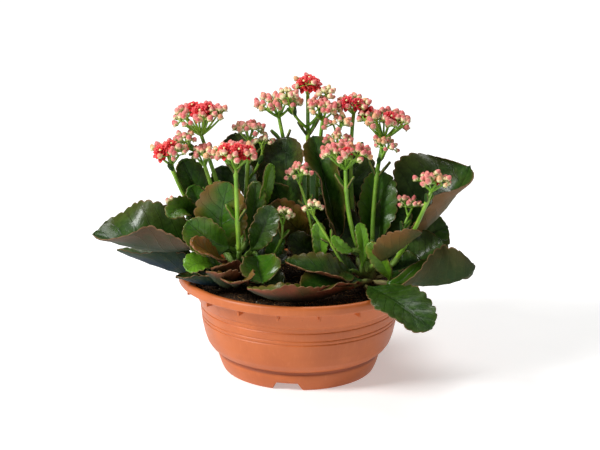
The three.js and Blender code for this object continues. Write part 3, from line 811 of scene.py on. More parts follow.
class Foliage:
    """Blades gathered into one mesh, with what the leaf finish reads on every point."""

    def __init__(self):
        self.points, self.faces, self.marks = [], [], []
        self.count = 0

    def add(self, leaf, seed, steps_along=90, steps_across=26, scallop=1.0):
        _, root, bend, tip, width, face, fold, curl, above, below, reddened = leaf
        draw = np.random.default_rng(seed)
        steps = np.linspace(0, 1, steps_along + 1)
        along = 1 - (1 - steps) ** STEPS_CLOSE_UP
        across = np.sin(np.linspace(-1, 1, steps_across + 1) * math.pi / 2)
        line, forward = bezier(root, bend, tip, along)
        up = np.array(face, float) - forward * (forward @ np.array(face, float))[:, None]
        up = unit(up)
        sideways = np.cross(forward, up)
        opening = np.sin(math.pi / 2 * np.minimum(along / WIDEST_AT, 1)) ** OPENING
        past = np.maximum(along - WIDEST_AT, 0) / (1 - WIDEST_AT)
        closing = np.maximum(1 - past**BLUNTNESS, 0) ** (1 / BLUNTNESS)
        petiole = min(PETIOLE, width / 9)
        least = np.where(along < 0.5, petiole, 0.5)
        half = np.maximum(width / 2 * opening * closing, least)[:, None]
        opened = np.minimum(1, half / FLAT_BELOW)
        tipward = np.clip((along - TIP_OPENS_AT) / (1 - TIP_OPENS_AT), 0, 1)[:, None]
        fold = math.radians(fold) * (1 - TIP_OPENS * tipward**2 * (3 - 2 * tipward))
        curl = math.radians(curl)

        def surface(a):
            angle = opened * (fold + curl * np.abs(a))
            bow = half / (opened * curl)
            reach = bow * (np.sin(angle) - np.sin(opened * fold)) * np.sign(a)
            rise = bow * (np.cos(opened * fold) - np.cos(angle))
            return (
                line[:, None] + reach[..., None] * sideways[:, None] + rise[..., None] * up[:, None]
            )

        a = np.repeat(across[None], len(along), axis=0)
        start = draw.uniform(0, 1, 2)
        least, full = SCALLOPS_LONG_AT
        long = SCALLOP_LONG * scallop * min(1.0, least + width / full)
        least, full = SCALLOPS_DEEP_AT
        deep = SCALLOP_DEEP * scallop * min(1.0, least + width / full)
        for sign, first in zip((-1, 1), start):
            edge = surface(np.full((len(along), 1), float(sign)))[:, 0]
            run = np.concatenate([[0], np.cumsum(np.linalg.norm(np.diff(edge, axis=0), axis=1))])
            lobe = np.abs(np.sin(math.pi * (run / long + first))) ** SCALLOP_ROUND
            begins = np.clip((along - SCALLOPS_FROM) / SCALLOPS_FULL_IN, 0, 1)[:, None]
            cut = deep * (1 - lobe)[:, None] * begins
            share = np.minimum(cut / half, SCALLOP_MOST)
            mine = np.sign(a) == sign
            a = np.where(mine, a * (1 - share * np.abs(a) ** SCALLOP_KEEPS_TO_EDGE), a)
        middle = surface(a)
        wave = draw.uniform(0, 2 * math.pi, 4)
        out = np.abs(across)[None]
        ruffle = (
            RUFFLE_DEEP * np.sin(2 * math.pi * along * RUFFLES + wave[0])[:, None] * (across > 0)
            + RUFFLE_DEEP * np.sin(2 * math.pi * along * RUFFLES + wave[1])[:, None] * (across < 0)
            + RIPPLE_DEEP * np.sin(2 * math.pi * along * RIPPLES + wave[2])[:, None] * np.sign(across)
        ) * out**2.5 * np.minimum(half / FULL_HALF_WIDTH, 1) * (along > 0.1)[:, None]
        veins = along[:, None] * VEINS - out * VEIN_SWEEP + VEIN_SHIFT * (across > 0)
        quilt = (np.abs(np.sin(math.pi * veins)) ** 0.6 - 0.6) * QUILT_DEEP * (1 - out**6)
        groove = -GROOVE_DEEP * np.exp(-((out * half) / GROOVE_WIDE) ** 2)
        relief = (quilt + groove) * np.minimum(half / FULL_HALF_WIDTH, 1)
        normal = unit(np.cross(np.gradient(middle, axis=0), np.gradient(middle, axis=1)))
        normal *= np.where((normal * up[:, None]).sum(-1, keepdims=True) < 0, -1, 1)
        middle = middle + normal * (ruffle + relief + BLADE_THICK / 2)[..., None]
        thick = BLADE_THICK * (1 - EDGE_THINNER * out**8) * np.ones_like(half)
        stalk_like = 1 - np.clip((half - petiole) / FLAT_BELOW, 0, 1)
        thick = thick + stalk_like * PETIOLE_THICK * petiole * np.sqrt(np.maximum(1 - out**2, 0.02))
        thick *= np.clip((1 - along) / TIP_THIN_FROM, TIP_THIN, 1)[:, None]
        top = middle + normal * (thick / 2)[..., None]
        bottom = middle - normal * (thick / 2)[..., None]
        rows, columns = top.shape[:2]
        grid = np.arange(rows * columns).reshape(rows, columns) + self.count
        other = grid + rows * columns
        quads = [
            np.stack([grid[:-1, :-1], grid[1:, :-1], grid[1:, 1:], grid[:-1, 1:]], -1),
            np.stack([other[:-1, :-1], other[:-1, 1:], other[1:, 1:], other[1:, :-1]], -1),
            np.stack([grid[:-1, 0], other[:-1, 0], other[1:, 0], grid[1:, 0]], -1),
            np.stack([grid[:-1, -1], grid[1:, -1], other[1:, -1], other[:-1, -1]], -1),
            np.stack([grid[0, :-1], grid[0, 1:], other[0, 1:], other[0, :-1]], -1),
            np.stack([grid[-1, :-1], other[-1, :-1], other[-1, 1:], grid[-1, 1:]], -1),
        ]
        spot = np.stack([
            np.repeat(across[None], rows, 0), np.repeat(along[:, None], columns, 1),
            np.full((rows, columns), draw.uniform(0, 9)),
        ], -1).reshape(-1, 3)
        self.points.append(top.reshape(-1, 3))
        self.points.append(bottom.reshape(-1, 3))
        self.faces.extend(q.reshape(-1, 4) for q in quads)
        for side in (0.0, 1.0):
            amount = len(spot)
            # the underside blends from the keel colour to the margin colour; both carry painted
            # shade, and the teal keel also carries a painted blue reflection
            edgeward = np.clip((np.abs(spot[:, :1]) - UNDER_RIM_FROM) / UNDER_RIM_IN, 0, 1)
            keel, rim = (np.array(paint) for paint in LOWER[below])
            self.marks.append((
                spot, np.full(amount, side), np.full(amount, float(reddened)),
                np.tile(UPPER[above], (amount, 1)), keel + (rim - keel) * edgeward,
            ))
        self.count += 2 * rows * columns

    def piece(self, name):
        points = AXIS + MM * np.concatenate(self.points)
        made = mesh_piece(name, points, np.concatenate(self.faces), leaf_flesh)
        self.mark(made.data)
        return made

    def mark(self, mesh):
        names = (("blade", "FLOAT_VECTOR", "vector"), ("under", "FLOAT", "value"),
                 ("redden", "FLOAT", "value"), ("upper", "FLOAT_COLOR", "color"),
                 ("lower", "FLOAT_COLOR", "color"))
        for (title, kind, key), values in zip(names, zip(*self.marks)):
            held = mesh.attributes.new(title, kind, "POINT")
            held.data.foreach_set(key, np.concatenate(values).astype(np.float32).ravel())


for number, leaf in enumerate(LEAVES):
    foliage = Foliage()
    foliage.add(leaf, seed=number)
    blade = foliage.piece("blade_" + leaf[0])
    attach(blade, "root")
    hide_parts("leaf_" + leaf[0])
for plant, leaves in YOUNG_LEAVES.items():
    foliage = Foliage()
    for number, leaf in enumerate(leaves):
        foliage.add(leaf, seed=100 + number, steps_along=44, steps_across=16, scallop=0.8)
    young_blades = foliage.piece("young_leaves_" + plant)
    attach(young_blades, "root")


# ------------------------------------------------------------------ flower stalks
# Juicy lime-green stalks that rise from the leaf axils, a little thicker at each node, where a
# pair of small leaves sits. At the top each one forks into the thin stems of its flower head.
# name, plant, root, bend and top; radius and height of the head; buds in it; open flowers, as
# distance to the right, distance back, height and width; and where its pairs of leaves sit
STALKS = [
    ("left_outer", "left", (-80, -7, 130), (-108, -7, 158), (-120, -17, 201), 17, 18, 22,
     [(-6, -5, 16, 19), (2, 3, 18, 16)], (0.93,)),
    ("left_high", "left", (-62, -6, 130), (-78, 0, 180), (-93, 5, 224), 26, 26, 46,
     [(2, -8, 24, 20), (9, -2, 25, 18), (-4, 2, 27, 17)], (0.35,)),
    ("left_inner", "left", (-70, -10, 134), (-80, -10, 170), (-89, -10, 198), 10, 16, 16,
     [], (0.5,)),
    ("left_main", "left", (-56, -48, 128), (-58, -56, 172), (-59, -51, 207), 21, 20, 34,
     [(-8, -5, 19, 18), (3, -8, 19, 19), (11, -3, 17, 18)], (0.34, 0.92)),
    ("left_rear", "left", (-54, -8, 128), (-50, 10, 180), (-49, 18, 216), 13, 14, 18, [], (0.7,)),
    ("back_left", "back", (2, 36, 138), (-12, 34, 190), (-21, 30, 236), 22, 18, 34, [], (0.72,)),
    ("back_top", "back", (8, 34, 138), (7, 30, 190), (6, 25, 258), 12, 18, 12,
     [(-3, -2, 13, 19), (5, -3, 13, 18), (1, 4, 14, 18)], (0.7,)),
    ("back_right", "back", (16, 32, 138), (15, 20, 190), (20, 7, 239), 15, 16, 26, [], (0.6,)),
    ("right_rear", "right", (52, -8, 128), (44, 12, 188), (49, 13, 244), 13, 14, 16,
     [(-6, -3, 12, 17), (3, -4, 12, 15)], (0.62,)),
    ("right_main", "right", (54, -34, 128), (42, -42, 160), (41, -45, 206), 22, 20, 42,
     [(1, -6, 20, 12)], (0.78,)),
    ("right_high", "right", (68, -16, 130), (68, -4, 180), (77, 5, 222), 26, 24, 48,
     [(-18, 3, 25, 17), (4, -6, 22, 18), (10, -2, 21, 15)], (0.6,)),
    ("right_outer", "right", (90, -33, 117), (104, -61, 148), (119, -58, 190), 15, 13, 18,
     [(3, -3, 12, 9)], (0.86,)),
]
STALK_FOOT, STALK_TOP = 2.2, 1.75
BUDS_CLOSER = 1.25  # more buds in a head than its row gives
GOLDEN_TURN = 2.39996  # radians from each arm, bud or petal to the next
NODE_SWELLS, NODE_LONG = 0.55, 0.035
ARM_THICK, PEDICEL_THICK = (1.35, 0.85), (0.75, 0.6)
OUTER_BUDS_FROM = 0.74  # share of the buds after which they hang round the edge of the head
# Thin side sprigs: plant, where they leave, bend and middle of the head; its radius; buds
SPRIGS = [
    ("left", (-84, 3, 205), (-92, -4, 208), (-104, -6, 218), 10, 12),
    ("left", (-86, -14, 132), (-104, -12, 138), (-120, -10, 160), 4, 3),
    ("left", (-26, -33, 118), (-16, -36, 130), (-16, -35, 154), 8, 9),
    ("left", (-52, 16, 176), (-38, 14, 190), (-36, 14, 212), 7, 8),
    ("back", (7, 26, 226), (-6, 20, 236), (-11, 15, 256), 8, 11),
    ("back", (8, 26, 230), (18, 20, 240), (21, 15, 258), 8, 11),
    ("back", (17, 24, 170), (34, 8, 190), (34, -2, 232), 12, 14),
    ("back", (18, 24, 160), (34, 0, 180), (34, -8, 218), 11, 14),
    ("right", (71, 0, 186), (70, -4, 200), (76, -5, 213), 11, 13),
    ("right", (14, -26, 118), (10, -28, 160), (-1, -30, 193), 11, 13),
    ("right", (92, -36, 124), (92, -38, 142), (100, -34, 164), 11, 12),
    ("right", (49, -45, 98), (34, -48, 128), (12, -50, 167), 7, 8),
]

stalk_flesh, tree, place = new_finish("stalk_flesh")
broad = noise(tree, place, 55, detail=3)
fine = noise(tree, stretched(tree, place, (1, 1, 0.15)), 1300, detail=2)
green = blended(tree, broad.clamped(0.35, 0.7), colour(104, 152, 38), colour(146, 188, 56))
green = blended(tree, fine.clamped(0.5, 0.75) * 0.35, green, colour(176, 200, 104))
finish_with(tree, {
    "Base Color": green,
    "Roughness": 0.34 + broad * 0.14,
    "Normal": bump(tree, 0.35, 0.0003, fine + broad),
})


class Greenery(Foliage):
    """Stalks and the small leaves on them, gathered into one mesh of two finishes."""

    def __init__(self):
        super().__init__()
        self.stems, self.stem_faces, self.stem_count = [], [], 0

    def tube(self, path, radii, sides):
        points, faces = swept(path, radii, sides)
        self.stems.append(np.array(points))
        self.stem_faces.extend(tuple(i + self.stem_count for i in face) for face in faces)
        self.stem_count += len(points)

    def stem(self, root, bend, tip, foot, top, steps=22, nodes=(), sides=12):
        along = np.linspace(0, 1, steps + 1)
        path, forward = bezier(root, bend, tip, along)
        radii = foot + (top - foot) * along
        for node in nodes:
            radii = radii + NODE_SWELLS * np.exp(-((along - node) / NODE_LONG) ** 2)
        self.tube(path, radii, sides)

    def piece(self, name):
        points = AXIS + MM * np.concatenate(self.stems)
        made = mesh_piece(name, points, self.stem_faces, stalk_flesh)
        if self.count:
            blades = super().piece(name + "_leaves")
            both = bmesh.new()
            both.from_mesh(made.data)
            made.data.materials.append(leaf_flesh)
            first = len(both.faces)
            both.from_mesh(blades.data)
            both.faces.ensure_lookup_table()
            for face in both.faces[first:]:
                face.material_index = 1
            both.to_mesh(made.data)
            both.free()
            bpy.data.objects.remove(blades)
        return made


BRACT_TURNS_UNDER = 14  # shorter bracts face any way, longer ones left and right
BRACT_ROOT, BRACT_WIDE, BRACT_FACES_OUT = 1.2, 0.42, 0.8
BRACT_BEND, BRACT_TIP = (0.32, 0.3), (0.62, 0.86)  # outwards and along the stalk


def bract_pair(greenery, path, node, seed, long):
    """Two narrow leaves that face each other across a stalk at a node."""
    draw = random.Random(seed)
    spots, ways = bezier(*path, [node])
    spot, way = spots[0], ways[0]
    turn = draw.uniform(0, math.pi) if long < BRACT_TURNS_UNDER else draw.uniform(-0.4, 0.4)
    side = np.array([math.cos(turn), math.sin(turn), 0.0])
    side = side - way * side.dot(way)
    side /= np.linalg.norm(side)
    for sign in (-1, 1):
        out = side * sign
        length = long * draw.uniform(0.8, 1.15)
        root = spot + out * BRACT_ROOT
        bend = spot + out * length * BRACT_BEND[0] + way * length * BRACT_BEND[1]
        tip = spot + out * length * BRACT_TIP[0] + way * length * BRACT_TIP[1]
        greenery.add(
            young(root, bend, tip, length * BRACT_WIDE, tuple(way - out * BRACT_FACES_OUT),
                  "fresh", "green", 0.0, fold=18),
            seed=seed, steps_along=20, steps_across=8, scallop=0.3,
        )


BUDS_ON_ARM, HEAD_LEANS, HEAD_RISES = 4, 0.35, 0.65
FORK_OUT, FORK_HIGH, ARM_BEND = 0.82, (0.56, 0.72), (0.3, 0.14)
EDGE_OUT, EDGE_HIGH = (0.75, 0.98), (0.5, 0.7)
DOME_OUT, DOME_HIGH, DOME_FALLS, DOME_UNEVEN = 1.05, 0.95, 0.26, 1.8
BUD_SIZES, BUD_LOOKS_UP = (0.78, 1.12), 0.35


def forked_head(greenery, top, way, radius, height, buds, seed):
    """Forks a stalk into the thin stems of a flat-topped head; returns where its buds sit."""
    draw = random.Random(seed)
    way = np.array(way, float) * HEAD_LEANS + np.array([0, 0, HEAD_RISES])
    way /= np.linalg.norm(way)
    right = np.cross((0, 1, 0), way)
    right /= np.linalg.norm(right)
    back = np.cross(way, right)
    top = np.array(top, float)

    def inside(r, angle, z):
        return top + right * (r * math.cos(angle)) + back * (r * math.sin(angle)) + way * z

    buds = round(buds * BUDS_CLOSER)
    arms = max(3, round(buds / BUDS_ON_ARM))
    forks = []
    for arm in range(arms):
        angle = arm * GOLDEN_TURN + draw.uniform(-0.3, 0.3)
        share = math.sqrt((arm + 0.4) / arms)
        fork = inside(radius * FORK_OUT * share, angle, height * draw.uniform(*FORK_HIGH))
        forks.append(fork)
        bend = inside(radius * ARM_BEND[0] * share, angle, height * ARM_BEND[1])
        greenery.stem(top, bend, fork, *ARM_THICK, steps=7, sides=8)
    seats = []
    for bud in range(buds):
        angle = bud * GOLDEN_TURN + draw.uniform(-0.35, 0.35)
        share = math.sqrt((bud + 0.5) / buds)
        if bud >= buds * OUTER_BUDS_FROM:
            r, z = radius * draw.uniform(*EDGE_OUT), height * draw.uniform(*EDGE_HIGH)
        else:
            r = radius * share * DOME_OUT
            z = height * (DOME_HIGH - DOME_FALLS * share**2)
            z += draw.uniform(-DOME_UNEVEN, DOME_UNEVEN)
        seat = inside(r, angle, z)
        fork = min(forks, key=lambda f: np.linalg.norm(f - seat))
        axis = seat - fork + way * radius * BUD_LOOKS_UP
        axis /= np.linalg.norm(axis)
        greenery.stem(fork, (fork + seat) / 2 + way * 0.8, seat, *PEDICEL_THICK, steps=4, sides=6)
        seats.append((seat, axis, draw.uniform(*BUD_SIZES), draw.random()))
    return seats, (right, back, way)


# ------------------------------------------------------------------ flower heads
# Waxy pink buds with pale cream-green bases in four short sepals, and between them the first
# open flowers: scarlet double rosettes of some thirty pointed petals round a cream middle.
BUD_LONG, BUD_WIDE, BUD_SIDES = 6.6, 5.6, 10
BUD_TWIST, BUD_RIDGES, RIDGE_HIGH = 0.9, 5, 0.07
BUD_OUTLINE = [
    (0.0, 0.02), (0.06, 0.55), (0.16, 0.84), (0.32, 1.0), (0.5, 0.98), (0.68, 0.84),
    (0.84, 0.58), (0.95, 0.28), (1.0, 0.03),
]
bud_points, bud_faces, bud_ripe = [], [], []
for share, wide in BUD_OUTLINE:
    for side in range(BUD_SIDES):
        angle = 2 * math.pi * side / BUD_SIDES + share * BUD_TWIST
        ridge = 1 + RIDGE_HIGH * math.cos(BUD_RIDGES * side * 2 * math.pi / BUD_SIDES) * share
        radius = BUD_WIDE / 2 * wide * ridge
        bud_points.append((*polar(MM * radius, angle), MM * BUD_LONG * share))
        bud_ripe.append(share)
for ring in range(len(BUD_OUTLINE) - 1):
    bud_faces += band(ring * BUD_SIDES, (ring + 1) * BUD_SIDES, BUD_SIDES)
bud_faces.append(tuple(range(BUD_SIDES - 1, -1, -1)))
bud_faces.append(tuple(range(len(bud_points) - BUD_SIDES, len(bud_points))))

SEPAL_LONG, SEPAL_WIDE, SEPAL_THICK, SEPAL_FOOT = 2.6, 1.7, 0.35, 0.15
SEPAL_OUTLINE = ((0.0, 0.6, 0.6), (0.45, 1.0, 1.05), (0.8, 0.5, 1.12))
SEPAL_RIPE, MIDDLE_RIPE = -0.3, -0.5  # under 0 the finishes turn green or cream
for sepal in range(4):
    turn = sepal * math.pi / 2
    out = np.array([*polar(1, turn), 0])
    side = np.array([-math.sin(turn), math.cos(turn), 0])
    first = len(bud_points)
    for share, wide, away in SEPAL_OUTLINE:
        for lift in (0, SEPAL_THICK):
            for edge in (-0.5, 0.5):
                spot = out * (BUD_WIDE / 2 * away + lift) + side * edge * SEPAL_WIDE * wide
                spot = spot + np.array([0, 0, SEPAL_LONG * share + SEPAL_FOOT])
                bud_points.append(tuple(MM * spot))
                bud_ripe.append(SEPAL_RIPE)
    for level in range(2):
        a = first + 4 * level
        for one, two, three, four in ((0, 1, 5, 4), (2, 6, 7, 3), (0, 4, 6, 2), (1, 3, 7, 5)):
            bud_faces.append((a + one, a + two, a + three, a + four))
    bud_faces.append((first, first + 2, first + 3, first + 1))
    bud_faces.append((first + 8, first + 9, first + 11, first + 10))

bud_skin, tree, place = new_finish("bud_skin")
ripe = marked(tree, "ripe")
hue = marked(tree, "hue")
tinge = noise(tree, place, 520, detail=2)
rosy = blended(tree, hue, colour(222, 138, 128), colour(206, 92, 94))
rosy = blended(tree, (hue * 7).fraction().clamped(0.75, 0.95), rosy, colour(226, 168, 120))
turning = (ripe + (tinge - 0.5) * 0.5 + hue * 0.1 - 0.05).clamped(0.26, 0.66)
bud_colour = blended(tree, turning, colour(238, 226, 176), rosy)
bud_colour = blended(tree, 1 - ripe.clamped(-0.1, 0.1), bud_colour, colour(140, 158, 74))
finish_with(tree, {
    "Base Color": bud_colour,
    "Roughness": 0.38 + tinge * 0.12,
    "Normal": bump(tree, 0.2, 0.0002, tinge),
})

bud = mesh_piece("bud", bud_points, bud_faces, bud_skin)
bud.data.attributes.new("ripe", "FLOAT", "POINT").data.foreach_set("value", bud_ripe)

petal_skin, tree, place = new_finish("petal_skin")
ripe = marked(tree, "ripe")
hue = marked(tree, "hue")
shade = noise(tree, place, 700, detail=3)
red = blended(tree, ripe.clamped(0.1, 1.0), colour(176, 22, 30), colour(226, 44, 46))
red = blended(tree, (ripe + shade * 0.3).clamped(0.98, 1.2) * 0.6, red, colour(240, 128, 112))
red = blended(tree, hue * 0.35, red, colour(206, 40, 70))
red = blended(tree, 1 - ripe.clamped(-0.1, 0.0), red, colour(236, 222, 158))
finish_with(tree, {"Base Color": red, "Roughness": 0.42 + shade * 0.15})

PETALS, PETAL_LONG, PETAL_WIDE = 30, 10.0, 5.0
PETAL_CUPPED, PETAL_CURVES_UP, PETAL_THICK, PETAL_THINS = 0.9, 1.6, 0.35, 1.05
petal_points, petal_ripe = [], []
petal_rows = ((0.0, 0.16), (0.3, 0.7), (0.6, 1.0), (0.85, 0.7), (1.0, 0.1))
for face_up in (1, 0):
    for share, wide in petal_rows:
        for edge in (-0.5, 0.0, 0.5):
            cup = PETAL_CUPPED * (2 * abs(edge)) ** 2 * wide + PETAL_CURVES_UP * share**2
            thin = PETAL_THICK * face_up * (1 - abs(edge)) * (PETAL_THINS - share)
            petal_points.append((
                PETAL_LONG * share * MM, PETAL_WIDE * wide * edge * MM, (cup + thin) * MM
            ))
            petal_ripe.append(share)
petal_faces = []
rows = len(petal_rows)
for row in range(rows - 1):
    for column in range(2):
        a = row * 3 + column
        petal_faces.append((a, a + 3, a + 4, a + 1))
        b = a + rows * 3
        petal_faces.append((b, b + 1, b + 4, b + 3))
    a, b = row * 3, row * 3 + rows * 3
    petal_faces.append((a, b, b + 3, a + 3))
    petal_faces.append((a + 2, a + 5, b + 5, b + 2))
for column in range(2):
    a, b = column, column + rows * 3
    petal_faces.append((a, a + 1, b + 1, b))
    a, b = a + 3 * (rows - 1), b + 3 * (rows - 1)
    petal_faces.append((a, b, b + 1, a + 1))
petal = mesh_piece("petal", petal_points, petal_faces, petal_skin)
petal.data.attributes.new("ripe", "FLOAT", "POINT").data.foreach_set("value", petal_ripe)

rosette = Pattern("rosette", {
    "Petals": "NodeSocketInt", "Petal": "NodeSocketObject", "Skin": "NodeSocketMaterial",
    "Middle": "NodeSocketFloat",
})
LEAN_UNEVEN, LEAN_FIRST, LEAN_OPENS = 0.16, 1.22, 1.14  # radians
ROSETTE_FOOT, ROSETTE_RISES, MIDDLE_AT, MIDDLE_RADIUS = 1.6 * MM, 2.2 * MM, 7.2 * MM, 1.1 * MM
number = rosette.node("GeometryNodeInputIndex")
share = number / rosette.given("Petals")
lean = rosette.node("FunctionNodeRandomValue", {}, {2: -LEAN_UNEVEN, 3: LEAN_UNEVEN, "Seed": 2})
rotation = rosette.node("ShaderNodeCombineXYZ", {}, {
    "Y": lean - LEAN_FIRST + share * LEAN_OPENS, "Z": number * GOLDEN_TURN,
})
rise = rosette.node("ShaderNodeCombineXYZ", {}, {"Z": (1 - share) * ROSETTE_RISES + ROSETTE_FOOT})
seeds = rosette.node("GeometryNodePoints", {}, {"Count": rosette.given("Petals"), "Position": rise})
grown = rosette.node("GeometryNodeInstanceOnPoints", {}, {
    "Points": seeds,
    "Instance": rosette.node("GeometryNodeObjectInfo", {}, {"Object": rosette.given("Petal")},
                             output="Geometry"),
    "Rotation": rotation,
    "Scale": rosette.node("ShaderNodeCombineXYZ", {}, {
        "X": 0.42 + share * 0.58, "Y": 0.6 + share * 0.4, "Z": 0.8 + share * 0.2,
    }),
})
middle = rosette.node("GeometryNodeMeshUVSphere", {}, {
    "Segments": 8, "Rings": 5, "Radius": rosette.given("Middle"),
})
middle = rosette.node("GeometryNodeTransform", {}, {
    "Geometry": middle, "Translation": (0, 0, MIDDLE_AT), "Scale": (1, 1, 0.7),
})
middle = rosette.node("GeometryNodeStoreNamedAttribute", {"data_type": "FLOAT"}, {
    "Geometry": middle, "Name": "ripe", "Value": MIDDLE_RIPE,
})
whole = rosette.node("GeometryNodeRealizeInstances", {}, {
    "Geometry": rosette.joined(grown, middle),
})
rosette.ends_with(rosette.node("GeometryNodeSetMaterial", {}, {
    "Geometry": whole, "Material": rosette.given("Skin"),
}))
blossom = mesh_piece("blossom", [(0, 0, 0)], [])
rosette.applied_to(blossom, Petals=PETALS, Petal=petal, Skin=petal_skin, Middle=MIDDLE_RADIUS)
smoothed(blossom.data)
BLOSSOM_WIDE = 2 * PETAL_LONG
BLOSSOM_FULLER, BLOSSOM_SINKS = 1.12, 2.5
BLOSSOM_LEANS, BLOSSOM_NOD, NOD_FROM = 0.05, 0.06, 12
ROOM_ROUND, ROOM_UNDER = 0.36, 4  # no buds nearer than this share of a blossom, or below it

head_pattern = Pattern("flower_head", {"Bud": "NodeSocketObject", "Blossom": "NodeSocketObject"})


def set_on_axes(pattern, solid, open_flower):
    """One copy of a solid on every point of its kind, its Z along the point's axis."""
    def named(title, kind):
        return pattern.node("GeometryNodeInputNamedAttribute", {"data_type": kind},
                            {"Name": title})
    wanted = pattern.node("FunctionNodeCompare", {"operation": "EQUAL"},
                          {0: named("open", "FLOAT"), 1: open_flower})
    facing = pattern.node("FunctionNodeAlignRotationToVector", {"axis": "Z"},
                          {"Vector": named("axis", "FLOAT_VECTOR")})
    solid = pattern.node("GeometryNodeObjectInfo", {}, {"Object": pattern.given(solid)},
                         output="Geometry")
    copies = pattern.node("GeometryNodeInstanceOnPoints", {}, {
        "Points": pattern.given(), "Selection": wanted, "Instance": solid,
        "Rotation": facing, "Scale": named("size", "FLOAT"),
    })
    return pattern.node("GeometryNodeRealizeInstances", {}, {"Geometry": copies})


buds_set = head_pattern.node("GeometryNodeSetMaterial", {}, {
    "Geometry": set_on_axes(head_pattern, "Bud", 0.0), "Material": bud_skin,
})
blossoms_set = head_pattern.node("GeometryNodeSetMaterial", {}, {
    "Geometry": set_on_axes(head_pattern, "Blossom", 1.0), "Material": petal_skin,
})
head_pattern.ends_with(head_pattern.joined(buds_set, blossoms_set))


def flower_piece(name, seats, blossoms=()):
    """The buds, and the open flowers in (place, axis, size, hue) each, as one piece."""
    every = [(*seat, 0.0) for seat in seats] + [(*flower, 1.0) for flower in blossoms]
    piece = mesh_piece(name, [AXIS + MM * entry[0] for entry in every], [])
    for title, kind, key, column in (
        ("axis", "FLOAT_VECTOR", "vector", 1), ("size", "FLOAT", "value", 2),
        ("hue", "FLOAT", "value", 3), ("open", "FLOAT", "value", 4),
    ):
        values = np.array([entry[column] for entry in every], np.float32)
        held = piece.data.attributes.new(title, kind, "POINT")
        held.data.foreach_set(key, values.ravel())
    head_pattern.applied_to(piece, Bud=bud, Blossom=blossom)
    smoothed(piece.data)
    return piece


for number, stalk in enumerate(STALKS):
    name, plant, root, bend, top, radius, height, buds, blossoms, nodes = stalk
    greenery = Greenery()
    path = (root, bend, top)
    greenery.stem(*path, STALK_FOOT, STALK_TOP, nodes=nodes)
    for node in nodes:
        bract_pair(greenery, path, node, 40 + number, 11 if node > 0.85 else 18)
    way = np.array(top, float) - np.array(bend, float)
    seats, (right, back, up) = forked_head(
        greenery, top, way / np.linalg.norm(way), radius, height, buds, 60 + number
    )
    open_ones = []
    for across, away, high, wide in blossoms:
        spot = np.array(top, float) + right * across + back * away + up * (high - BLOSSOM_SINKS)
        nod = back * (away - NOD_FROM) * BLOSSOM_NOD
        axis = unit(right * across * BLOSSOM_LEANS + nod + up)
        open_ones.append((spot, axis, BLOSSOM_FULLER * wide / BLOSSOM_WIDE, (number * 0.37) % 1))
        seats = [
            seat for seat in seats
            if np.linalg.norm((seat[0] - spot) - up * (seat[0] - spot).dot(up)) > wide * ROOM_ROUND
            or (seat[0] - spot).dot(up) < -ROOM_UNDER
        ]
    stalk_piece = greenery.piece("flower_stalk_" + name)
    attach(stalk_piece, "root")
    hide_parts("stalk_" + name)
    head = flower_piece("flower_head_" + name, seats, open_ones)
    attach(head, "root")
    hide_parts("flowers_" + name)

SMALL_HEAD, YOUNG_PALER = 9, 2.0  # heads under this radius still have pale buds
SPRIG_FOOT, SPRIG_TOP, SPRIG_BUD = 1.5, 1.15, 0.88
for plant in ("left", "back", "right"):
    greenery, seats = Greenery(), []
    for number, (owner, root, bend, middle, radius, buds) in enumerate(SPRIGS):
        if owner != plant:
            continue
        top = np.array(middle, float) - np.array([0, 0, radius * 0.45])
        greenery.stem(root, bend, top, SPRIG_FOOT, SPRIG_TOP, steps=14, nodes=(0.6,), sides=10)
        bract_pair(greenery, (root, bend, top), 0.6, 80 + number, 12)
        way = top - np.array(bend, float)
        more, _ = forked_head(greenery, top, way / np.linalg.norm(way), radius, radius * 1.35,
                              buds, 90 + number)
        paler = YOUNG_PALER if radius < SMALL_HEAD else 0.0
        seats += [
            (spot, axis, size * SPRIG_BUD, hue * 0.7 - paler) for spot, axis, size, hue in more
        ]
    sprigs = greenery.piece("side_sprigs_" + plant)
    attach(sprigs, "root")
    small = flower_piece("side_buds_" + plant, seats)
    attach(small, "root")
for spare in (bud, petal, blossom):
    bpy.data.objects.remove(spare)


# ------------------------------------------------------------------ stems and side shoots
# The plants themselves: a short stem that has turned woody and brown at the foot, with a green
# side shoot out to every leaf and flower stalk, rooted in the soil.
# foot, height and radius of each stem
PLANTS = {
    "left": ((-60, -26), 120, 5.0), "right": ((66, -26), 118, 5.5), "back": ((10, 38), 128, 5.0),
}
BACK_LEAVES = (
    "back_left_tall", "back_left_narrow", "back_centre_large", "centre_folded", "centre_bronze",
    "back_right_tall", "rear_right", "rear_left", "rear_upright",
)
LEAF_PLANT = {"left": [], "right": [], "back": []}
for leaf in LEAVES:
    side = "left" if "left" in leaf[0] else "right"
    LEAF_PLANT["back" if leaf[0] in BACK_LEAVES else side].append(leaf)
bark, tree, place = new_finish("stem_bark")
ringed = noise(tree, stretched(tree, place, (0.4, 0.4, 1.6)), 420, detail=4, roughness=0.65)
broad = noise(tree, place, 90, detail=2)
height = part_of(tree, place, 2)
woody = 1 - (height + (broad - 0.5) * 0.012).clamped(0.094, 0.112)
fresh = blended(tree, broad.clamped(0.35, 0.7), colour(92, 128, 46), colour(128, 162, 66))
old = blended(tree, ringed.clamped(0.35, 0.7), colour(84, 70, 40), colour(128, 112, 66))
finish_with(tree, {
    "Base Color": blended(tree, woody, fresh, old),
    "Roughness": 0.45 + woody * 0.3 + ringed * 0.1,
    "Normal": bump(tree, 0.5, 0.0006, ringed * woody + broad * 0.3),
})
SHOOT_RISE, SHOOT_DROP, SHOOT_FOOT, SHOOT_TOP = 0.6, 4, 2.6, 2.2
SPRIGS_FROM_STEM_BELOW = 140
STEM_STEPS, STEM_UNDER_SOIL = 15, 4
SWAY_RIGHT, SWAY_BACK = (1.2, 5), (1.0, 4)  # how far and how fast a stem sways
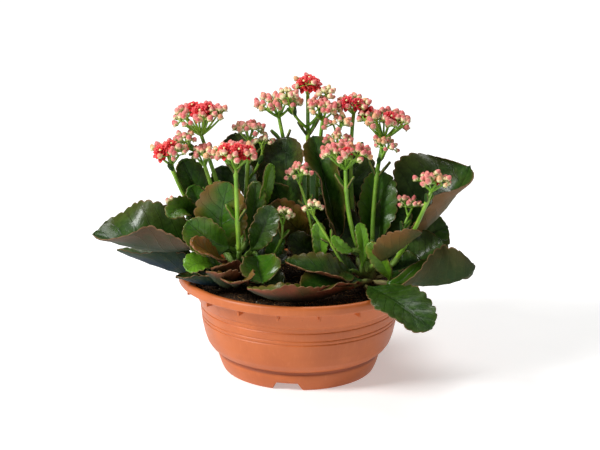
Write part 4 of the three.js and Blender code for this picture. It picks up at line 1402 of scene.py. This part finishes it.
GIRTH_FOOT, GIRTH_TAPER, GIRTH_BUMPS = 1.2, 0.42, (0.06, 17)
for plant, (foot, high, radius) in PLANTS.items():
    greenery = Greenery()
    levels = np.linspace(0, 1, STEM_STEPS)
    spine = [(
        foot[0] + SWAY_RIGHT[0] * math.sin(SWAY_RIGHT[1] * s),
        foot[1] + SWAY_BACK[0] * math.cos(SWAY_BACK[1] * s),
        SOIL_TOP - STEM_UNDER_SOIL + (high - SOIL_TOP + STEM_UNDER_SOIL) * s,
    ) for s in levels]
    bumps, often = GIRTH_BUMPS
    girth = [radius * (GIRTH_FOOT - GIRTH_TAPER * s + bumps * math.sin(often * s)) for s in levels]
    greenery.tube(spine, girth, sides=20)
    roots = [(leaf[1], leaf[2]) for leaf in (*LEAF_PLANT[plant], *YOUNG_LEAVES[plant])]
    roots += [(stalk[2], stalk[3]) for stalk in STALKS if stalk[1] == plant]
    roots += [(sprig[1], sprig[2]) for sprig in SPRIGS
              if sprig[0] == plant and sprig[1][2] < SPRIGS_FROM_STEM_BELOW]
    for root, bend in roots:
        root, bend = np.array(root, float), np.array(bend, float)
        leaving = (bend - root) / np.linalg.norm(bend - root)
        away = math.hypot(root[0] - foot[0], root[1] - foot[1])
        low = root[2] - SHOOT_RISE * away - SHOOT_DROP
        low = min(max(low, SOIL_TOP + 3), high - SHOOT_DROP)
        start = np.array([foot[0], foot[1], low])
        middle = root - leaving * np.linalg.norm(root - start) / 2
        middle[2] = max(middle[2], SOIL_TOP + 4)
        end = root + leaving * 0.6
        greenery.stem(start, middle, end, SHOOT_FOOT, SHOOT_TOP, steps=12, nodes=(0.72,))
    stems = greenery.piece("stems_" + plant)
    stems.data.materials.clear()
    stems.data.materials.append(bark)
    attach(stems, "root")
    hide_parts("stem_" + plant)


# ------------------------------------------------------------------ floor, light and sizes
# A plain pale floor with a glow of its own that grows to the back, under soft studio light: a
# broad lamp high on the left in front, one above and behind, and a weak one on the right.
floor_finish, tree, place = new_finish("pale_floor")
grainy = noise(tree, place, 40, detail=2)
backwards = part_of(tree, place, 1)
glow = blended(tree, backwards.clamped(0.1, 2.5), colour(160, 160, 160), colour(230, 230, 230))
finish_with(tree, {
    "Base Color": blended(tree, grainy, (0.90, 0.90, 0.90, 1), (0.93, 0.93, 0.93, 1)),
    "Roughness": 0.8 + grainy * 0.1,
    "Emission Color": glow,
    "Emission Strength": 1.0,
})
floor = mesh_piece("floor", [(-6, -6, 0), (6, -6, 0), (6, 6, 0), (-6, 6, 0)], [(0, 1, 2, 3)],
                   floor_finish)

world = bpy.data.worlds.new("studio")
scene.world = world
world.use_nodes = True
world.node_tree.nodes["Background"].inputs["Color"].default_value = (1, 0.98, 0.93, 1)
world.node_tree.nodes["Background"].inputs["Strength"].default_value = 0.18
LAMPS_AIM = (0, 0, 140)


def lamp(name, place, size, watts):
    light = bpy.data.lights.new(name, "AREA")
    light.shape, light.size, light.energy = "DISK", size, watts
    made = bpy.data.objects.new(name, light)
    scene.collection.objects.link(made)
    made.location = at(*place)
    made.rotation_euler = Vector(at(*LAMPS_AIM) - at(*place)).to_track_quat("-Z", "Y").to_euler()


lamp("key", (-1600, -880, 1350), 0.7, 50)
lamp("top", (150, 450, 1700), 0.9, 15)
lamp("fill", (1500, -900, 500), 1.0, 0.9)
